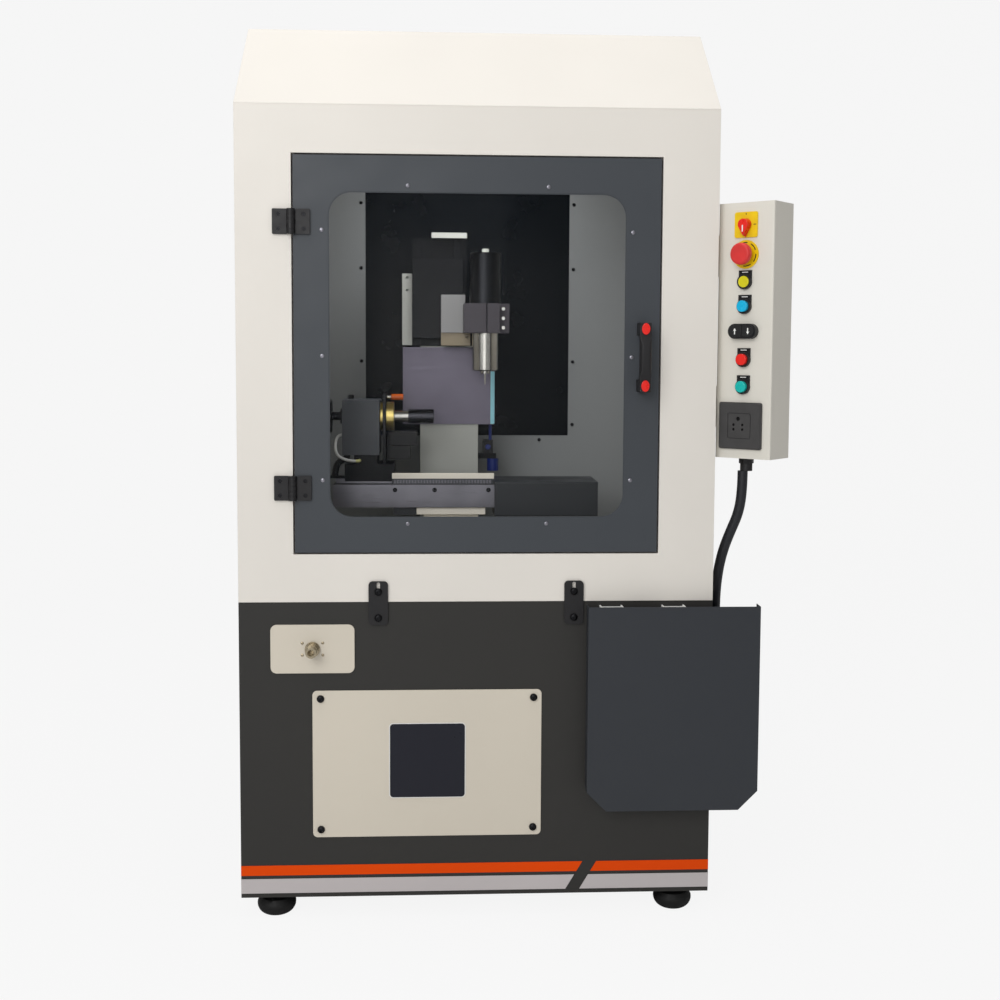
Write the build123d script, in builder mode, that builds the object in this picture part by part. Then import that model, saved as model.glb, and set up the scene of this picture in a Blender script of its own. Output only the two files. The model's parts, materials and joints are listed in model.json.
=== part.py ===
"""Floor-standing bangle cutting machine: base, hood, door, three-axis mechanism, pendant, shelf."""

import os
from math import asin, cos, hypot, pi, radians, sin, tan

from build123d import *

os.makedirs("parts", exist_ok=True)

# Cabinet, seen from the front: width along X, depth away from the operator, heights from the floor
cab_w = 930.0
cab_d = 860.0
base_bottom = 42.0
joint_z = 633.0
roof_rise = 186.0
roof_run = 213.0
base_sheet = 3.0
hood_sheet = 2.5
deck_t = 6.0

# Levelling feet
foot_d = 76.0
foot_inset_x = 65.0
foot_inset_y = 40.0
foot_stem_d = 16.0

# Doorway, door and window
door_w = 707.0
door_h = 763.0
door_mid_x = -1.5
door_sill = 97.0
door_head = 93.0
door_gap = 3.0
door_t = 22.0
door_sheet = 2.0
door_rim = 26.0
door_lip = 12.0
window_w = 573.0
window_h = 626.0
window_r = 45.0
window_lap = 25.0
window_t = 4.0
window_screw_d = 8.0
window_screw_h = 1.6
window_screw_x = 299.0
window_screw_z = 325.0
window_screw_dx = 135.0
window_screw_dz = 240.0

# Door hinges
hinge_h = 48.0
hinge_leaf_w = 27.0
hinge_t = 5.0
hinge_offset_z = 255.0
knuckle_r = 8.0
knuckle_count = 5
knuckle_gap = 0.3
knuckle_clear = 0.8
hinge_pin_r = 2.5
running_clear = 0.05
seat_gap = 0.05
hinge_screw_d = 8.0

# Door handle
handle_span = 109.0
handle_w = 22.0
handle_foot = 24.0
handle_reach = 52.0
handle_bar = 16.0
handle_inset = 34.0
cap_w = 16.0
cap_h = 22.0
cap_t = 2.5

# Retaining clips over the joint of hood and base
clip_w = 38.0
clip_top = 674.0
clip_bottom = 588.0
clip_t = 5.0
clip_r = 8.0
clip_mid_x = (-194.0, 189.0)
clip_screw_z = (653.5, 602.0)
button_head_d = 15.0
button_head_share = 0.4

# Access plate with its opening, and the dark square plate on it
access_mid_x = -98.0
access_mid_z = 311.0
access_w = 450.0
access_h = 294.0
access_lap = 28.0
access_t = 3.0
access_screw_inset = 16.0
badge_side = 147.0
badge_mid_z = 317.0
badge_t = 1.5

# Connector plate and the hose connector on it
connector_mid_x = -322.0
connector_mid_z = 541.0
connector_w = 163.0
connector_h = 96.0
connector_r = 12.0
connector_d = 21.0
connector_reach = 36.0
connector_flange_d = 30.0

# Bands near the foot of the base
band_t = 0.8
orange_band = (87.0, 107.0)
silver_band = (51.0, 80.0)
band_gap_x = 225.0
band_gap_z = 107.0
band_gap_w = 28.0
band_slope = 0.6

# Fold-down shelf and its bracket hinges
shelf_left = 214.0
shelf_w = 338.0
shelf_top = 628.0
shelf_h = 406.0
shelf_chamfer = 38.0
shelf_out = 40.0
shelf_rim = 32.0
shelf_sheet = 1.5
bracket_x = (262.0, 385.0)
bracket_w = 45.0
bracket_sheet = 3.0
bracket_leg = 14.0
bracket_bottom = 470.0
fold_y = -19.0
fold_z = 618.0
fold_pin_r = 3.0
fold_eye_r = 7.0
fold_clear = 0.4

# Chamber walls
chamber_wall_y = 545.0
dark_left = -246.0
dark_right = 230.0
dark_bottom = 924.0
dark_top = 1488.0
dark_lap = 16.0
wall_screw_d = 8.0
wall_screw_out = 10.0
wall_screw_z = (1464.0, 1314.0, 1098.0)
low_screw_z = 950.0
low_screw_x = 162.0

# Machine bed and column
bed_w = 620.0
bed_y = (205.0, 520.0)
bed_top = 700.0
column_x = (-117.5, 13.0)
column_y = (407.0, 500.0)
column_top = 1133.0
splash_x = (-156.0, 50.0)
splash_z = (958.0, 1130.5)
splash_t = 3.0

# X axis
axis_y = 300.0
a_axis_z = 981.0
beam_x = (-300.0, 43.0)
beam_y = (246.0, 372.0)
beam_z = (789.5, 838.0)
beam_block_x = (-172.0, -124.0)
front_plate_t = 6.0
front_plate_hole_x = (-168.7, -84.6, 30.2)
front_plate_hole_d = 7.0
drive_x = (43.0, 265.0)
drive_y = (240.0, 372.0)
drive_z = (770.0, 844.0)
pedestal_x = (-123.0, 24.0)
pedestal_neck = 15.0
pedestal_cap = 16.0
rail_w = 12.0
rail_h = 12.0
rail_y = (276.0, 326.0)
rail_clear = 0.3
cover_x = (-175.0, 42.0)
cover_z = (851.0, 862.5)
cover_t = 8.0

# Carriage and headstock
foot_x = (-276.0, -170.0)
foot_y = (254.0, 348.0)
foot_z = (844.0, 881.0)
riser_x = (-256.0, -206.0)
head_x = (-281.0, -202.0)
head_y = (250.0, 352.0)
head_z = (900.0, 1017.5)
plate_x = (-195.2, -188.7)
plate_top = 1032.0
plate_w = 78.0
head_gap = 0.4

# A axis rotor
disc_d = 71.0
disc_t = 4.0
disc_gap = 19.0
flange_d = 34.0
flange_t = 6.0
rotor_shaft_d = 18.0
ring_d = 62.0
ring_2_t = 16.0
neck_d = 28.0
shank_d = 25.0
shank_l = 31.0
mandrel_d = 31.4
mandrel_l = 55.0
mandrel_groove = 3.0

# Z axis
tower_x = (-135.0, -14.0)
tower_top = 1383.0
tower_cap = 12.0
z_rail_x = (-122.0, -36.0)
z_rail_end = 1371.0
side_strip_x = (-157.0, -135.0)
side_strip_z = (1135.0, 1293.0)
saddle_x = (-134.0, -22.0)
saddle_y = (376.0, 401.0)
saddle_z = (1150.0, 1325.0)
cream_x = (-71.0, -18.0)
cream_z = (1162.0, 1245.0)
cream_y = 348.0
beige_x = (-71.0, -6.5)
beige_z = (1134.0, 1162.0)
spindle_x = 24.0
clamp_x = (-23.0, 75.0)
clamp_y = (257.0, 348.0)
clamp_z = (1161.0, 1223.5)
clamp_step_x = 54.0
clamp_step = 20.0
clamp_slit = 2.0
spindle_d = 65.0
motor_d = 68.0
motor_top = 1332.0
nose_d = 56.6
nose_bottom = 1080.0
cap_d = 15.0
nut_d = 21.0
nut_l = 5.5
tool_d = 4.0
tool_tip_z = 1050.0
rotor_bore_l = 40.0
rotor_stem_d = 12.0

# Small valve beside the column
valve_x = (24.5, 47.5)
valve_y = (424.0, 446.0)
valve_z = (891.0, 921.0)
valve_arm_end = 55.0
valve_arm_h = 12.0
valve_knob_d = 26.0
valve_knob_l = 28.0
valve_hose_d = 7.0
valve_hose_l = 36.0

# Pendant, hung off the right side and turned towards the operator
pendant_gap = 4.0
pendant_y = 21.0
pendant_turn = radians(41.5)
pendant_w = 119.0
pendant_d = 81.0
pendant_z = (916.0, 1410.0)
pendant_r = 3.0
bracket_sheet_t = 3.0
bracket_inset = 60.0
bracket_h = 80.0
bracket_back = 90.0
bracket_leaf = 72.0
control_s = 60.0
switch_drop = 43.0
switch_side = 49.0
stop_ring_d = 55.0
stop_head_d = 42.0
stop_stem_d = 22.0
stop_collar_d = 29.0
stop_collar_h = 6.0
stop_travel = 4.0
control_gap = {"stop": 4.5, "yellow": 3.0, "blue": 10.5, "twin": 19.0, "red": 18.0, "green": 16.0, "socket": 16.0}
button_lift = {"yellow": 10.0, "blue": 15.0, "red": 15.0, "green": 15.0}
button_d = 22.0
button_travel = 3.0
button_clear = 0.3
bezel_d = 29.0
bezel_h = 8.0
label_up = 22.0
label_t = 2.0
twin_w = 60.0
twin_h = 29.0
twin_depth = 12.0
twin_rise = 2.0
twin_wall = 3.0
socket_s = 56.0
socket_side = 91.0
socket_t = 8.0
module_side = 47.0

# Glands and the pendant cable
cable_d = 20.0
gland_d = 30.0
gland_l = 27.0
gland_s = 48.0
gland_depth = 40.0
elbow_reach = 19.0
elbow_y = 64.0
elbow_z = (480.0, 520.0)
rear_gland_d = 34.0
rear_gland_l = 24.0
rear_gland_in = 110.0
rear_gland_z = 140.0

# Heights that follow from the joint, the door and the roof
door_mid_z = joint_z + door_sill + door_h / 2
hood_front_top = door_mid_z + door_h / 2 + door_gap + door_head
roof_top = hood_front_top + roof_rise

# Controls, one under the other from the top of the pendant
switch_z = pendant_z[1] - switch_drop
stop_z = switch_z - switch_side / 2 - stop_ring_d / 2 - control_gap["stop"]
yellow_z = stop_z - stop_ring_d / 2 - label_up - control_gap["yellow"]
blue_z = yellow_z - bezel_d / 2 - label_up - control_gap["blue"]
twin_z = blue_z - bezel_d / 2 - twin_h / 2 - control_gap["twin"]
red_z = twin_z - twin_h / 2 - label_up - control_gap["red"]
green_z = red_z - bezel_d / 2 - label_up - control_gap["green"]
socket_z = green_z - bezel_d / 2 - socket_side / 2 - control_gap["socket"]
button_z = {"yellow": yellow_z, "blue": blue_z, "red": red_z, "green": green_z}

# Ends of the pendant in plan, seen from the cabinet's own centre line and front plane
half_w = cab_w / 2
pendant_x = half_w + pendant_gap
elbow_x = half_w + elbow_reach
face_right = (cos(pendant_turn), -sin(pendant_turn))
face_back = (sin(pendant_turn), cos(pendant_turn))
reach_right = pendant_x + pendant_w * face_right[0] + pendant_d * face_back[0]
reach_front = pendant_y + pendant_w * face_right[1]

# Cabinet centre line and front plane in the model's frame
mid_x = (half_w - reach_right) / 2
front_y = -(cab_d + rear_gland_l + reach_front) / 2


def facing(y):
    """Plane parallel to the front at depth y, looking at the operator."""
    return Plane(origin=(mid_x, front_y + y, 0), x_dir=(1, 0, 0), z_dir=(0, -1, 0))


def across(x):
    """Plane square to the width at x: sketch x runs back, sketch y runs up."""
    return Plane(origin=(mid_x + x, front_y, 0), x_dir=(0, 1, 0), z_dir=(1, 0, 0))


def level(z):
    """Horizontal plane at height z."""
    return Plane(origin=(mid_x, front_y, z), x_dir=(1, 0, 0), z_dir=(0, 0, 1))


def pendant_face(out=0.0):
    """Plane of the pendant's front, moved out by a distance: sketch x from its left edge, y up."""
    x = mid_x + pendant_x - face_back[0] * out
    y = front_y + pendant_y - face_back[1] * out
    return Plane(origin=(x, y, 0), x_dir=(*face_right, 0), z_dir=(-face_back[0], -face_back[1], 0))


def block(xs, ys, zs, mode=Mode.ADD):
    """Square bar between three pairs of limits."""
    with BuildSketch(level(zs[0])) as foot:
        with Locations(((xs[0] + xs[1]) / 2, (ys[0] + ys[1]) / 2)):
            Rectangle(xs[1] - xs[0], ys[1] - ys[0])
    extrude(foot.sketch, amount=zs[1] - zs[0], mode=mode)


def round_bar(plane, at, d, length, mode=Mode.ADD):
    """Round bar that starts on a plane and runs along its normal."""
    with BuildSketch(plane) as end:
        with Locations(at):
            Circle(d / 2)
    extrude(end.sketch, amount=length, mode=mode)


def button_heads(places, y, d):
    """Domed screw heads of one diameter on a plane that faces the operator."""
    head_h = d * button_head_share
    for height, out, taper in ((0.4, 0.0, 8), (0.6, 0.4, 38)):
        base_r = d / 2 - out * head_h * tan(radians(8))
        with BuildSketch(facing(y - out * head_h)) as head:
            with Locations(*places):
                Circle(base_r)
        extrude(head.sketch, amount=height * head_h, taper=taper)


def save(piece, name):
    """Label a finished piece and write it."""
    piece.part.label = name
    export_step(piece.part, f"parts/{name}.step")


# Base
side_x = half_w - base_sheet
back_y = cab_d - base_sheet
inner_x = (-side_x, side_x)
inner_y = (base_sheet, back_y)
access_hole_w = access_w - 2 * access_lap
access_hole_h = access_h - 2 * access_lap

with BuildPart() as base_front:
    with BuildSketch(facing(base_sheet)):
        with Locations((0, (base_bottom + joint_z) / 2)):
            Rectangle(cab_w, joint_z - base_bottom)
        with Locations((access_mid_x, access_mid_z)):
            RectangleRounded(access_hole_w, access_hole_h, access_lap / 2, mode=Mode.SUBTRACT)
    extrude(amount=base_sheet)
save(base_front, "base_front_panel")

with BuildPart() as base_sides:
    for edge in (-half_w, side_x):
        block((edge, edge + base_sheet), inner_y, (base_bottom, joint_z))
save(base_sides, "base_side_panels")

vent_w = 120.0
vent_h = 8.0
vent_drop = 150.0
with BuildPart() as base_back:
    with BuildSketch(facing(cab_d)):
        with Locations((0, (base_bottom + joint_z) / 2)):
            Rectangle(cab_w, joint_z - base_bottom)
        with Locations((0, joint_z - vent_drop)):
            with GridLocations(2 * vent_w, 3 * vent_h, 2, 6):
                SlotOverall(vent_w, vent_h, mode=Mode.SUBTRACT)
    extrude(amount=base_sheet)
save(base_back, "base_back_panel")

with BuildPart() as base_plates:
    block(inner_x, inner_y, (base_bottom, base_bottom + deck_t))
    block(inner_x, inner_y, (joint_z - deck_t, joint_z))
save(base_plates, "base_plates")

foot_x_pitch = cab_w - 2 * foot_inset_x
foot_y_pitch = cab_d - 2 * foot_inset_y
foot_dome_z = base_bottom * 0.75
foot_flat_r = foot_d * 0.36
foot_rim = (foot_d / 2, foot_dome_z * 0.7)
with BuildPart() as feet:
    for dx in (-foot_x_pitch / 2, foot_x_pitch / 2):
        for y in (foot_inset_y, foot_inset_y + foot_y_pitch):
            foot_plane = Plane((mid_x + dx, front_y + y, 0), x_dir=(1, 0, 0), z_dir=(0, -1, 0))
            with BuildSketch(foot_plane) as foot_profile:
                with BuildLine():
                    Line((0, 0), (foot_flat_r, 0))
                    ThreePointArc((foot_flat_r, 0), (foot_d * 0.48, foot_dome_z * 0.3), foot_rim)
                    Polyline(
                        foot_rim,
                        (foot_d * 0.42, foot_dome_z),
                        (foot_stem_d / 2, foot_dome_z),
                        (foot_stem_d / 2, base_bottom),
                        (0, base_bottom),
                        (0, 0),
                    )
                make_face()
            revolve(foot_profile.sketch, axis=Axis(foot_plane.origin, (0, 0, 1)))
save(feet, "leveling_feet")

# Hood
doorway_w = door_w + 2 * door_gap
doorway_h = door_h + 2 * door_gap
roof_len = hypot(roof_run, roof_rise)
slope_y = roof_run / roof_len
slope_z = roof_rise / roof_len
inner_start = (hood_sheet * slope_z, hood_front_top - hood_sheet * slope_y)
front_panel_top = inner_start[1] - 0.5
inner_low_y = inner_start[0] - 0.5 * roof_run / roof_rise
inner_high_y = inner_start[0] + (roof_top - hood_sheet - inner_start[1]) * roof_run / roof_rise
side_low_z = inner_start[1] + (hood_sheet - inner_start[0]) * roof_rise / roof_run
hood_back_y = cab_d - hood_sheet

with BuildPart() as hood_front:
    with BuildSketch(facing(hood_sheet)):
        with Locations((0, (joint_z + front_panel_top) / 2)):
            Rectangle(cab_w, front_panel_top - joint_z)
        with Locations((door_mid_x, door_mid_z)):
            Rectangle(doorway_w, doorway_h, mode=Mode.SUBTRACT)
    extrude(amount=hood_sheet)
    with BuildSketch(facing(door_rim)) as rim:
        with Locations((door_mid_x, door_mid_z)):
            Rectangle(doorway_w + 2 * hood_sheet, doorway_h + 2 * hood_sheet)
            Rectangle(doorway_w, doorway_h, mode=Mode.SUBTRACT)
    extrude(rim.sketch, amount=door_rim - hood_sheet)
    with BuildSketch(facing(door_rim + hood_sheet)) as lip:
        with Locations((door_mid_x, door_mid_z)):
            Rectangle(doorway_w + 2 * hood_sheet, doorway_h + 2 * hood_sheet)
            Rectangle(doorway_w - 2 * door_lip, doorway_h - 2 * door_lip, mode=Mode.SUBTRACT)
    extrude(lip.sketch, amount=hood_sheet)
save(hood_front, "hood_front_panel")

with BuildPart() as hood_sides:
    for edge in (-half_w, half_w - hood_sheet):
        with BuildSketch(across(edge)) as cheek:
            with BuildLine():
                Polyline(
                    (hood_sheet, joint_z),
                    (hood_sheet, side_low_z),
                    (inner_high_y, roof_top - hood_sheet),
                    (hood_back_y, roof_top - hood_sheet),
                    (hood_back_y, joint_z),
                    close=True,
                )
            make_face()
        extrude(cheek.sketch, amount=hood_sheet)
save(hood_sides, "hood_side_panels")

with BuildPart() as roof:
    with BuildSketch(across(-half_w)):
        with BuildLine():
            Polyline(
                (0, front_panel_top),
                (0, hood_front_top),
                (roof_run, roof_top),
                (cab_d, roof_top),
                (cab_d, roof_top - hood_sheet),
                (inner_high_y, roof_top - hood_sheet),
                (inner_low_y, front_panel_top),
                close=True,
            )
        make_face()
    extrude(amount=cab_w)
save(roof, "hood_roof_panel")

with BuildPart() as hood_back:
    block((-half_w, half_w), (hood_back_y, cab_d), (joint_z, roof_top - hood_sheet))
save(hood_back, "hood_back_panel")

# Retaining clips, cover plates and their screws
clip_h = clip_top - clip_bottom
with BuildPart() as clips:
    with BuildSketch(facing(0)):
        for x in clip_mid_x:
            with Locations((x, (clip_top + clip_bottom) / 2)):
                RectangleRounded(clip_w, clip_h, clip_r)
            with Locations((x, clip_screw_z[0] + 6)):
                SlotOverall(clip_h * 0.3, 7, rotation=90, mode=Mode.SUBTRACT)
    extrude(amount=clip_t)
save(clips, "retaining_clips")

screw_dx = access_w / 2 - access_screw_inset
screw_dz = access_h / 2 - access_screw_inset
corners = [(sx, sz) for sx in (-1, 1) for sz in (-1, 1)]
access_screws = [(access_mid_x + sx * screw_dx, access_mid_z + sz * screw_dz) for sx, sz in corners]
with BuildPart() as access:
    with BuildSketch(facing(0)):
        with Locations((access_mid_x, access_mid_z)):
            RectangleRounded(access_w, access_h, access_lap / 3)
    extrude(amount=access_t)
save(access, "access_plate")

with BuildPart() as badge:
    with BuildSketch(facing(-access_t)):
        with Locations((access_mid_x, badge_mid_z)):
            RectangleRounded(badge_side, badge_side, access_lap / 4)
    extrude(amount=badge_t)
save(badge, "name_plate")

dark_mid_z = (dark_bottom + dark_top) / 2
wall_screws = [
    (x, z)
    for x in (dark_left - wall_screw_out, dark_right + wall_screw_out)
    for z in wall_screw_z
]
wall_screws.append((dark_right + wall_screw_out, low_screw_z))
wall_screws.append((low_screw_x, dark_bottom - wall_screw_out))
with BuildPart() as screws:
    button_heads([(x, z) for x in clip_mid_x for z in clip_screw_z], -clip_t, button_head_d)
    button_heads(access_screws, -access_t, button_head_d)
    button_heads(wall_screws, chamber_wall_y, wall_screw_d)
save(screws, "panel_screws")

with BuildPart() as connector_plate:
    with BuildSketch(facing(0)):
        with Locations((connector_mid_x, connector_mid_z)):
            RectangleRounded(connector_w, connector_h, connector_r)
        with Locations((connector_mid_x, connector_mid_z)):
            with GridLocations(40, 24, 2, 2):
                Circle(2.5, mode=Mode.SUBTRACT)
    extrude(amount=access_t)
save(connector_plate, "connector_plate")

with BuildPart() as hose_connector:
    mouth = (connector_mid_x, connector_mid_z)
    round_bar(facing(-access_t), mouth, connector_flange_d, 5)
    round_bar(facing(-access_t), mouth, connector_d, connector_reach)
    round_bar(facing(-access_t - connector_reach + 14), mouth, connector_d + 3, 5)
    round_bar(facing(-access_t - connector_reach + 26), mouth, connector_d * 0.6, 30, Mode.SUBTRACT)
save(hose_connector, "hose_connector")


def band_edge(z, side):
    """Place along the front where a band stops at height z, left or right of the slanted gap."""
    return band_gap_x + side * band_gap_w / 2 - (band_gap_z - z) * band_slope


with BuildPart() as bands:
    with BuildSketch(facing(0)):
        for low, high in (orange_band, silver_band):
            with BuildLine():
                left = (band_edge(low, -1), low)
                Polyline((-half_w, low), left, (band_edge(high, -1), high), (-half_w, high), close=True)
            make_face()
            with BuildLine():
                right = (band_edge(high, 1), high)
                Polyline((band_edge(low, 1), low), (half_w, low), (half_w, high), right, close=True)
            make_face()
    extrude(amount=band_t)
save(bands, "stripe_bands")

# Fold-down shelf: a sheet tray that hangs by two bracket hinges
shelf_right = shelf_left + shelf_w
shelf_bottom = shelf_top - shelf_h
rim_y = -shelf_out + shelf_rim


def shelf_outline(inset):
    """Outline of the shelf with chamfered free corners, inset by the sheet on its rims."""
    corner = shelf_chamfer + inset * tan(radians(22.5))
    low = shelf_bottom + inset
    Polyline(
        (shelf_left + inset, shelf_top),
        (shelf_left + inset, shelf_bottom + corner),
        (shelf_left + corner, low),
        (shelf_right - corner, low),
        (shelf_right - inset, shelf_bottom + corner),
        (shelf_right - inset, shelf_top),
        close=True,
    )


with BuildPart() as shelf:
    with BuildSketch(facing(rim_y)):
        with BuildLine():
            shelf_outline(0)
        make_face()
    extrude(amount=shelf_rim)
    with BuildSketch(facing(rim_y)) as hollow:
        with BuildLine():
            shelf_outline(shelf_sheet)
        make_face()
    extrude(hollow.sketch, amount=shelf_rim - shelf_sheet, mode=Mode.SUBTRACT)
save(shelf, "fold_down_shelf")

eye_in = bracket_w / 2 - bracket_sheet
arm_half = eye_in - fold_clear
with BuildPart() as bracket_legs:
    for x in bracket_x:
        block((x - bracket_w / 2, x + bracket_w / 2), (-bracket_sheet, 0), (bracket_bottom, fold_z + 4))
        for edge in (x - bracket_w / 2, x + eye_in):
            with BuildSketch(across(edge)) as cheek:
                with BuildLine():
                    Polyline(
                        (0, bracket_bottom),
                        (-bracket_leg, bracket_bottom),
                        (-bracket_leg, fold_z - 3 * fold_eye_r),
                        (fold_y - fold_eye_r, fold_z - fold_eye_r),
                        (fold_y - fold_eye_r, fold_z + fold_eye_r),
                        (0, fold_z + fold_eye_r),
                        close=True,
                    )
                make_face()
            extrude(cheek.sketch, amount=bracket_sheet)
        round_bar(across(x - eye_in), (fold_y, fold_z), 2 * fold_pin_r, 2 * eye_in)
save(bracket_legs, "shelf_bracket_legs")

arm_face = -shelf_out + shelf_sheet
with BuildPart() as bracket_arms:
    for x in bracket_x:
        arm_back = arm_face + bracket_sheet
        block((x - arm_half, x + arm_half), (arm_face, arm_back), (bracket_bottom - 30, fold_z))
        for edge in (x - arm_half, x + arm_half - bracket_sheet):
            with BuildSketch(across(edge)) as cheek:
                with BuildLine():
                    Polyline(
                        (arm_face, bracket_bottom - 30),
                        (arm_face + bracket_leg, bracket_bottom - 30),
                        (arm_face + bracket_leg, fold_z - 3 * fold_eye_r),
                        (fold_y + fold_eye_r, fold_z - 2),
                        (fold_y + fold_eye_r, fold_z + 4),
                        (fold_y + 3, fold_z + fold_eye_r),
                        (arm_face, fold_z + fold_eye_r),
                        close=True,
                    )
                make_face()
                with Locations((fold_y, fold_z)):
                    Circle(fold_pin_r + running_clear, mode=Mode.SUBTRACT)
            extrude(cheek.sketch, amount=bracket_sheet)
save(bracket_arms, "shelf_bracket_arms")

# Door hinges: interleaved knuckles on a pin just outside the door's left edge
pin_x = door_mid_x - door_w / 2 - door_gap
pin_y = -knuckle_r - running_clear
knuckle_pitch = hinge_h / knuckle_count
leaf_start = knuckle_r + knuckle_clear
hinge_mid_z = (door_mid_z - hinge_offset_z, door_mid_z + hinge_offset_z)


def hinge_leaf(side, first):
    """Leaves of both hinges on one side of the pin, with every second knuckle from the first."""
    inner = pin_x + side * leaf_start
    outer = pin_x + side * (leaf_start + hinge_leaf_w)
    for z in hinge_mid_z:
        bottom = z - hinge_h / 2
        with BuildSketch(facing(0)) as leaf:
            with Locations(((inner + outer) / 2, z)):
                RectangleRounded(hinge_leaf_w, hinge_h, 2)
            with Locations(((inner + outer) / 2 + side * 2, z)):
                with GridLocations(0, hinge_h - 20, 1, 2):
                    Circle(hinge_screw_d / 2, mode=Mode.SUBTRACT)
        extrude(leaf.sketch, amount=hinge_t)
        for k in range(first, knuckle_count, 2):
            low = bottom + k * knuckle_pitch + knuckle_gap / 2
            high = bottom + (k + 1) * knuckle_pitch - knuckle_gap / 2
            web = sorted((pin_x, inner + side))
            block(web, (-hinge_t, 0), (low, high))
            round_bar(level(low), (pin_x, pin_y), 2 * knuckle_r, high - low)


with BuildPart() as fixed_leaves:
    hinge_leaf(-1, 0)
    for z in hinge_mid_z:
        bottom = z - hinge_h / 2 + knuckle_gap
        round_bar(level(bottom), (pin_x, pin_y), 2 * hinge_pin_r, hinge_h - 2 * knuckle_gap)
save(fixed_leaves, "hinge_fixed_leaves")

with BuildPart() as door_leaves:
    hinge_leaf(1, 1)
    for z in hinge_mid_z:
        low = level(z - hinge_h / 2)
        round_bar(low, (pin_x, pin_y), 2 * (hinge_pin_r + running_clear), hinge_h, Mode.SUBTRACT)
save(door_leaves, "hinge_door_leaves")

# Door: folded frame, window behind it, screws and handle
with BuildPart() as door:
    with BuildSketch(facing(door_t)):
        with Locations((door_mid_x, door_mid_z)):
            Rectangle(door_w, door_h)
            RectangleRounded(window_w, window_h, window_r, mode=Mode.SUBTRACT)
    extrude(amount=door_t)
    with BuildSketch(facing(door_t)) as door_hollow:
        with Locations((door_mid_x, door_mid_z)):
            Rectangle(door_w - 2 * door_sheet, door_h - 2 * door_sheet)
    extrude(door_hollow.sketch, amount=door_t - door_sheet, mode=Mode.SUBTRACT)
save(door, "door_frame")

with BuildPart() as window:
    with BuildSketch(facing(door_sheet + window_t)):
        with Locations((door_mid_x, door_mid_z)):
            RectangleRounded(window_w + 2 * window_lap, window_h + 2 * window_lap, window_r)
    extrude(amount=window_t)
save(window, "door_window")

side_heights = (-window_screw_dz, 0, window_screw_dz)
window_screw_places = [(sx * window_screw_x, dz) for sx in (-1, 1) for dz in side_heights]
window_screw_places += [(sx * window_screw_dx, sz * window_screw_z) for sx, sz in corners]
with BuildPart() as window_screws:
    with BuildSketch(facing(0)):
        with Locations((door_mid_x, door_mid_z)):
            with Locations(*window_screw_places):
                Circle(window_screw_d / 2)
    extrude(amount=window_screw_h)
save(window_screws, "window_screws")

handle_x = door_mid_x + door_w / 2 - handle_inset
handle_end = (handle_span + handle_foot) / 2
handle_throat = handle_span / 2 - handle_foot / 2
cap_seat = -handle_reach + 8
with BuildPart() as handle:
    with BuildSketch(across(handle_x - handle_w / 2)):
        with BuildLine():
            Polyline(
                (0, door_mid_z - handle_end),
                (cap_seat, door_mid_z - handle_end),
                (cap_seat, door_mid_z - handle_throat),
                (-handle_reach, door_mid_z - handle_throat + handle_bar),
                (-handle_reach, door_mid_z + handle_throat - handle_bar),
                (cap_seat, door_mid_z + handle_throat),
                (cap_seat, door_mid_z + handle_end),
                (0, door_mid_z + handle_end),
            )
            Polyline(
                (0, door_mid_z + handle_end),
                (0, door_mid_z + handle_throat),
                (-handle_reach * 0.55, door_mid_z + handle_throat),
                (-handle_reach + handle_bar, door_mid_z + handle_throat - handle_foot / 2),
                (-handle_reach + handle_bar, door_mid_z - handle_throat + handle_foot / 2),
                (-handle_reach * 0.55, door_mid_z - handle_throat),
                (0, door_mid_z - handle_throat),
                (0, door_mid_z - handle_end),
            )
        make_face()
    extrude(amount=handle_w)
    ridge = handle.faces().sort_by(Axis.Y)[0].edges().filter_by(Axis.Z)
    chamfer(ridge, length=4)
    with BuildSketch(facing(cap_seat - seat_gap)) as caps:
        for side in (-1, 1):
            with Locations((handle_x, door_mid_z + side * handle_span / 2)):
                Ellipse(cap_w / 2, cap_h / 2)
    extrude(caps.sketch, amount=cap_t)
save(handle, "door_handle")

# Chamber: back wall with its opening and the dark panel behind it
dark_mid_x = (dark_left + dark_right) / 2
dark_w = dark_right - dark_left
dark_h = dark_top - dark_bottom
chamber_half = half_w - hood_sheet
with BuildPart() as chamber_wall:
    with BuildSketch(facing(chamber_wall_y + hood_sheet)):
        with Locations((0, (joint_z + roof_top - hood_sheet) / 2)):
            Rectangle(2 * chamber_half, roof_top - hood_sheet - joint_z)
        with Locations((dark_mid_x, dark_mid_z)):
            Rectangle(dark_w, dark_h, mode=Mode.SUBTRACT)
    extrude(amount=hood_sheet)
save(chamber_wall, "chamber_back_wall")

with BuildPart() as dark_panel:
    with BuildSketch(facing(chamber_wall_y + 2 * hood_sheet)):
        with Locations((dark_mid_x, dark_mid_z)):
            Rectangle(dark_w + 2 * dark_lap, dark_h + 2 * dark_lap)
    extrude(amount=hood_sheet)
save(dark_panel, "chamber_dark_panel")

# Machine bed, pedestal and column
bed_half = bed_w / 2
with BuildPart() as bed:
    with BuildSketch(across(-bed_half)):
        with BuildLine():
            Polyline(
                (bed_y[0] - 15, joint_z),
                (bed_y[0] - 15, joint_z + 14),
                (bed_y[0], joint_z + 30),
                (bed_y[0], bed_top),
                (bed_y[1], bed_top),
                (bed_y[1], joint_z),
                close=True,
            )
        make_face()
    extrude(amount=bed_w)
save(bed, "machine_bed")

neck_y = (beam_y[0] + 12, beam_y[1] - 12)
with BuildPart() as pedestal:
    neck_x = (pedestal_x[0] + pedestal_neck, pedestal_x[1] - pedestal_neck)
    block(neck_x, neck_y, (bed_top, beam_z[0] - pedestal_cap))
    block(pedestal_x, beam_y, (beam_z[0] - pedestal_cap, beam_z[0]))
save(pedestal, "beam_pedestal")

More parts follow.
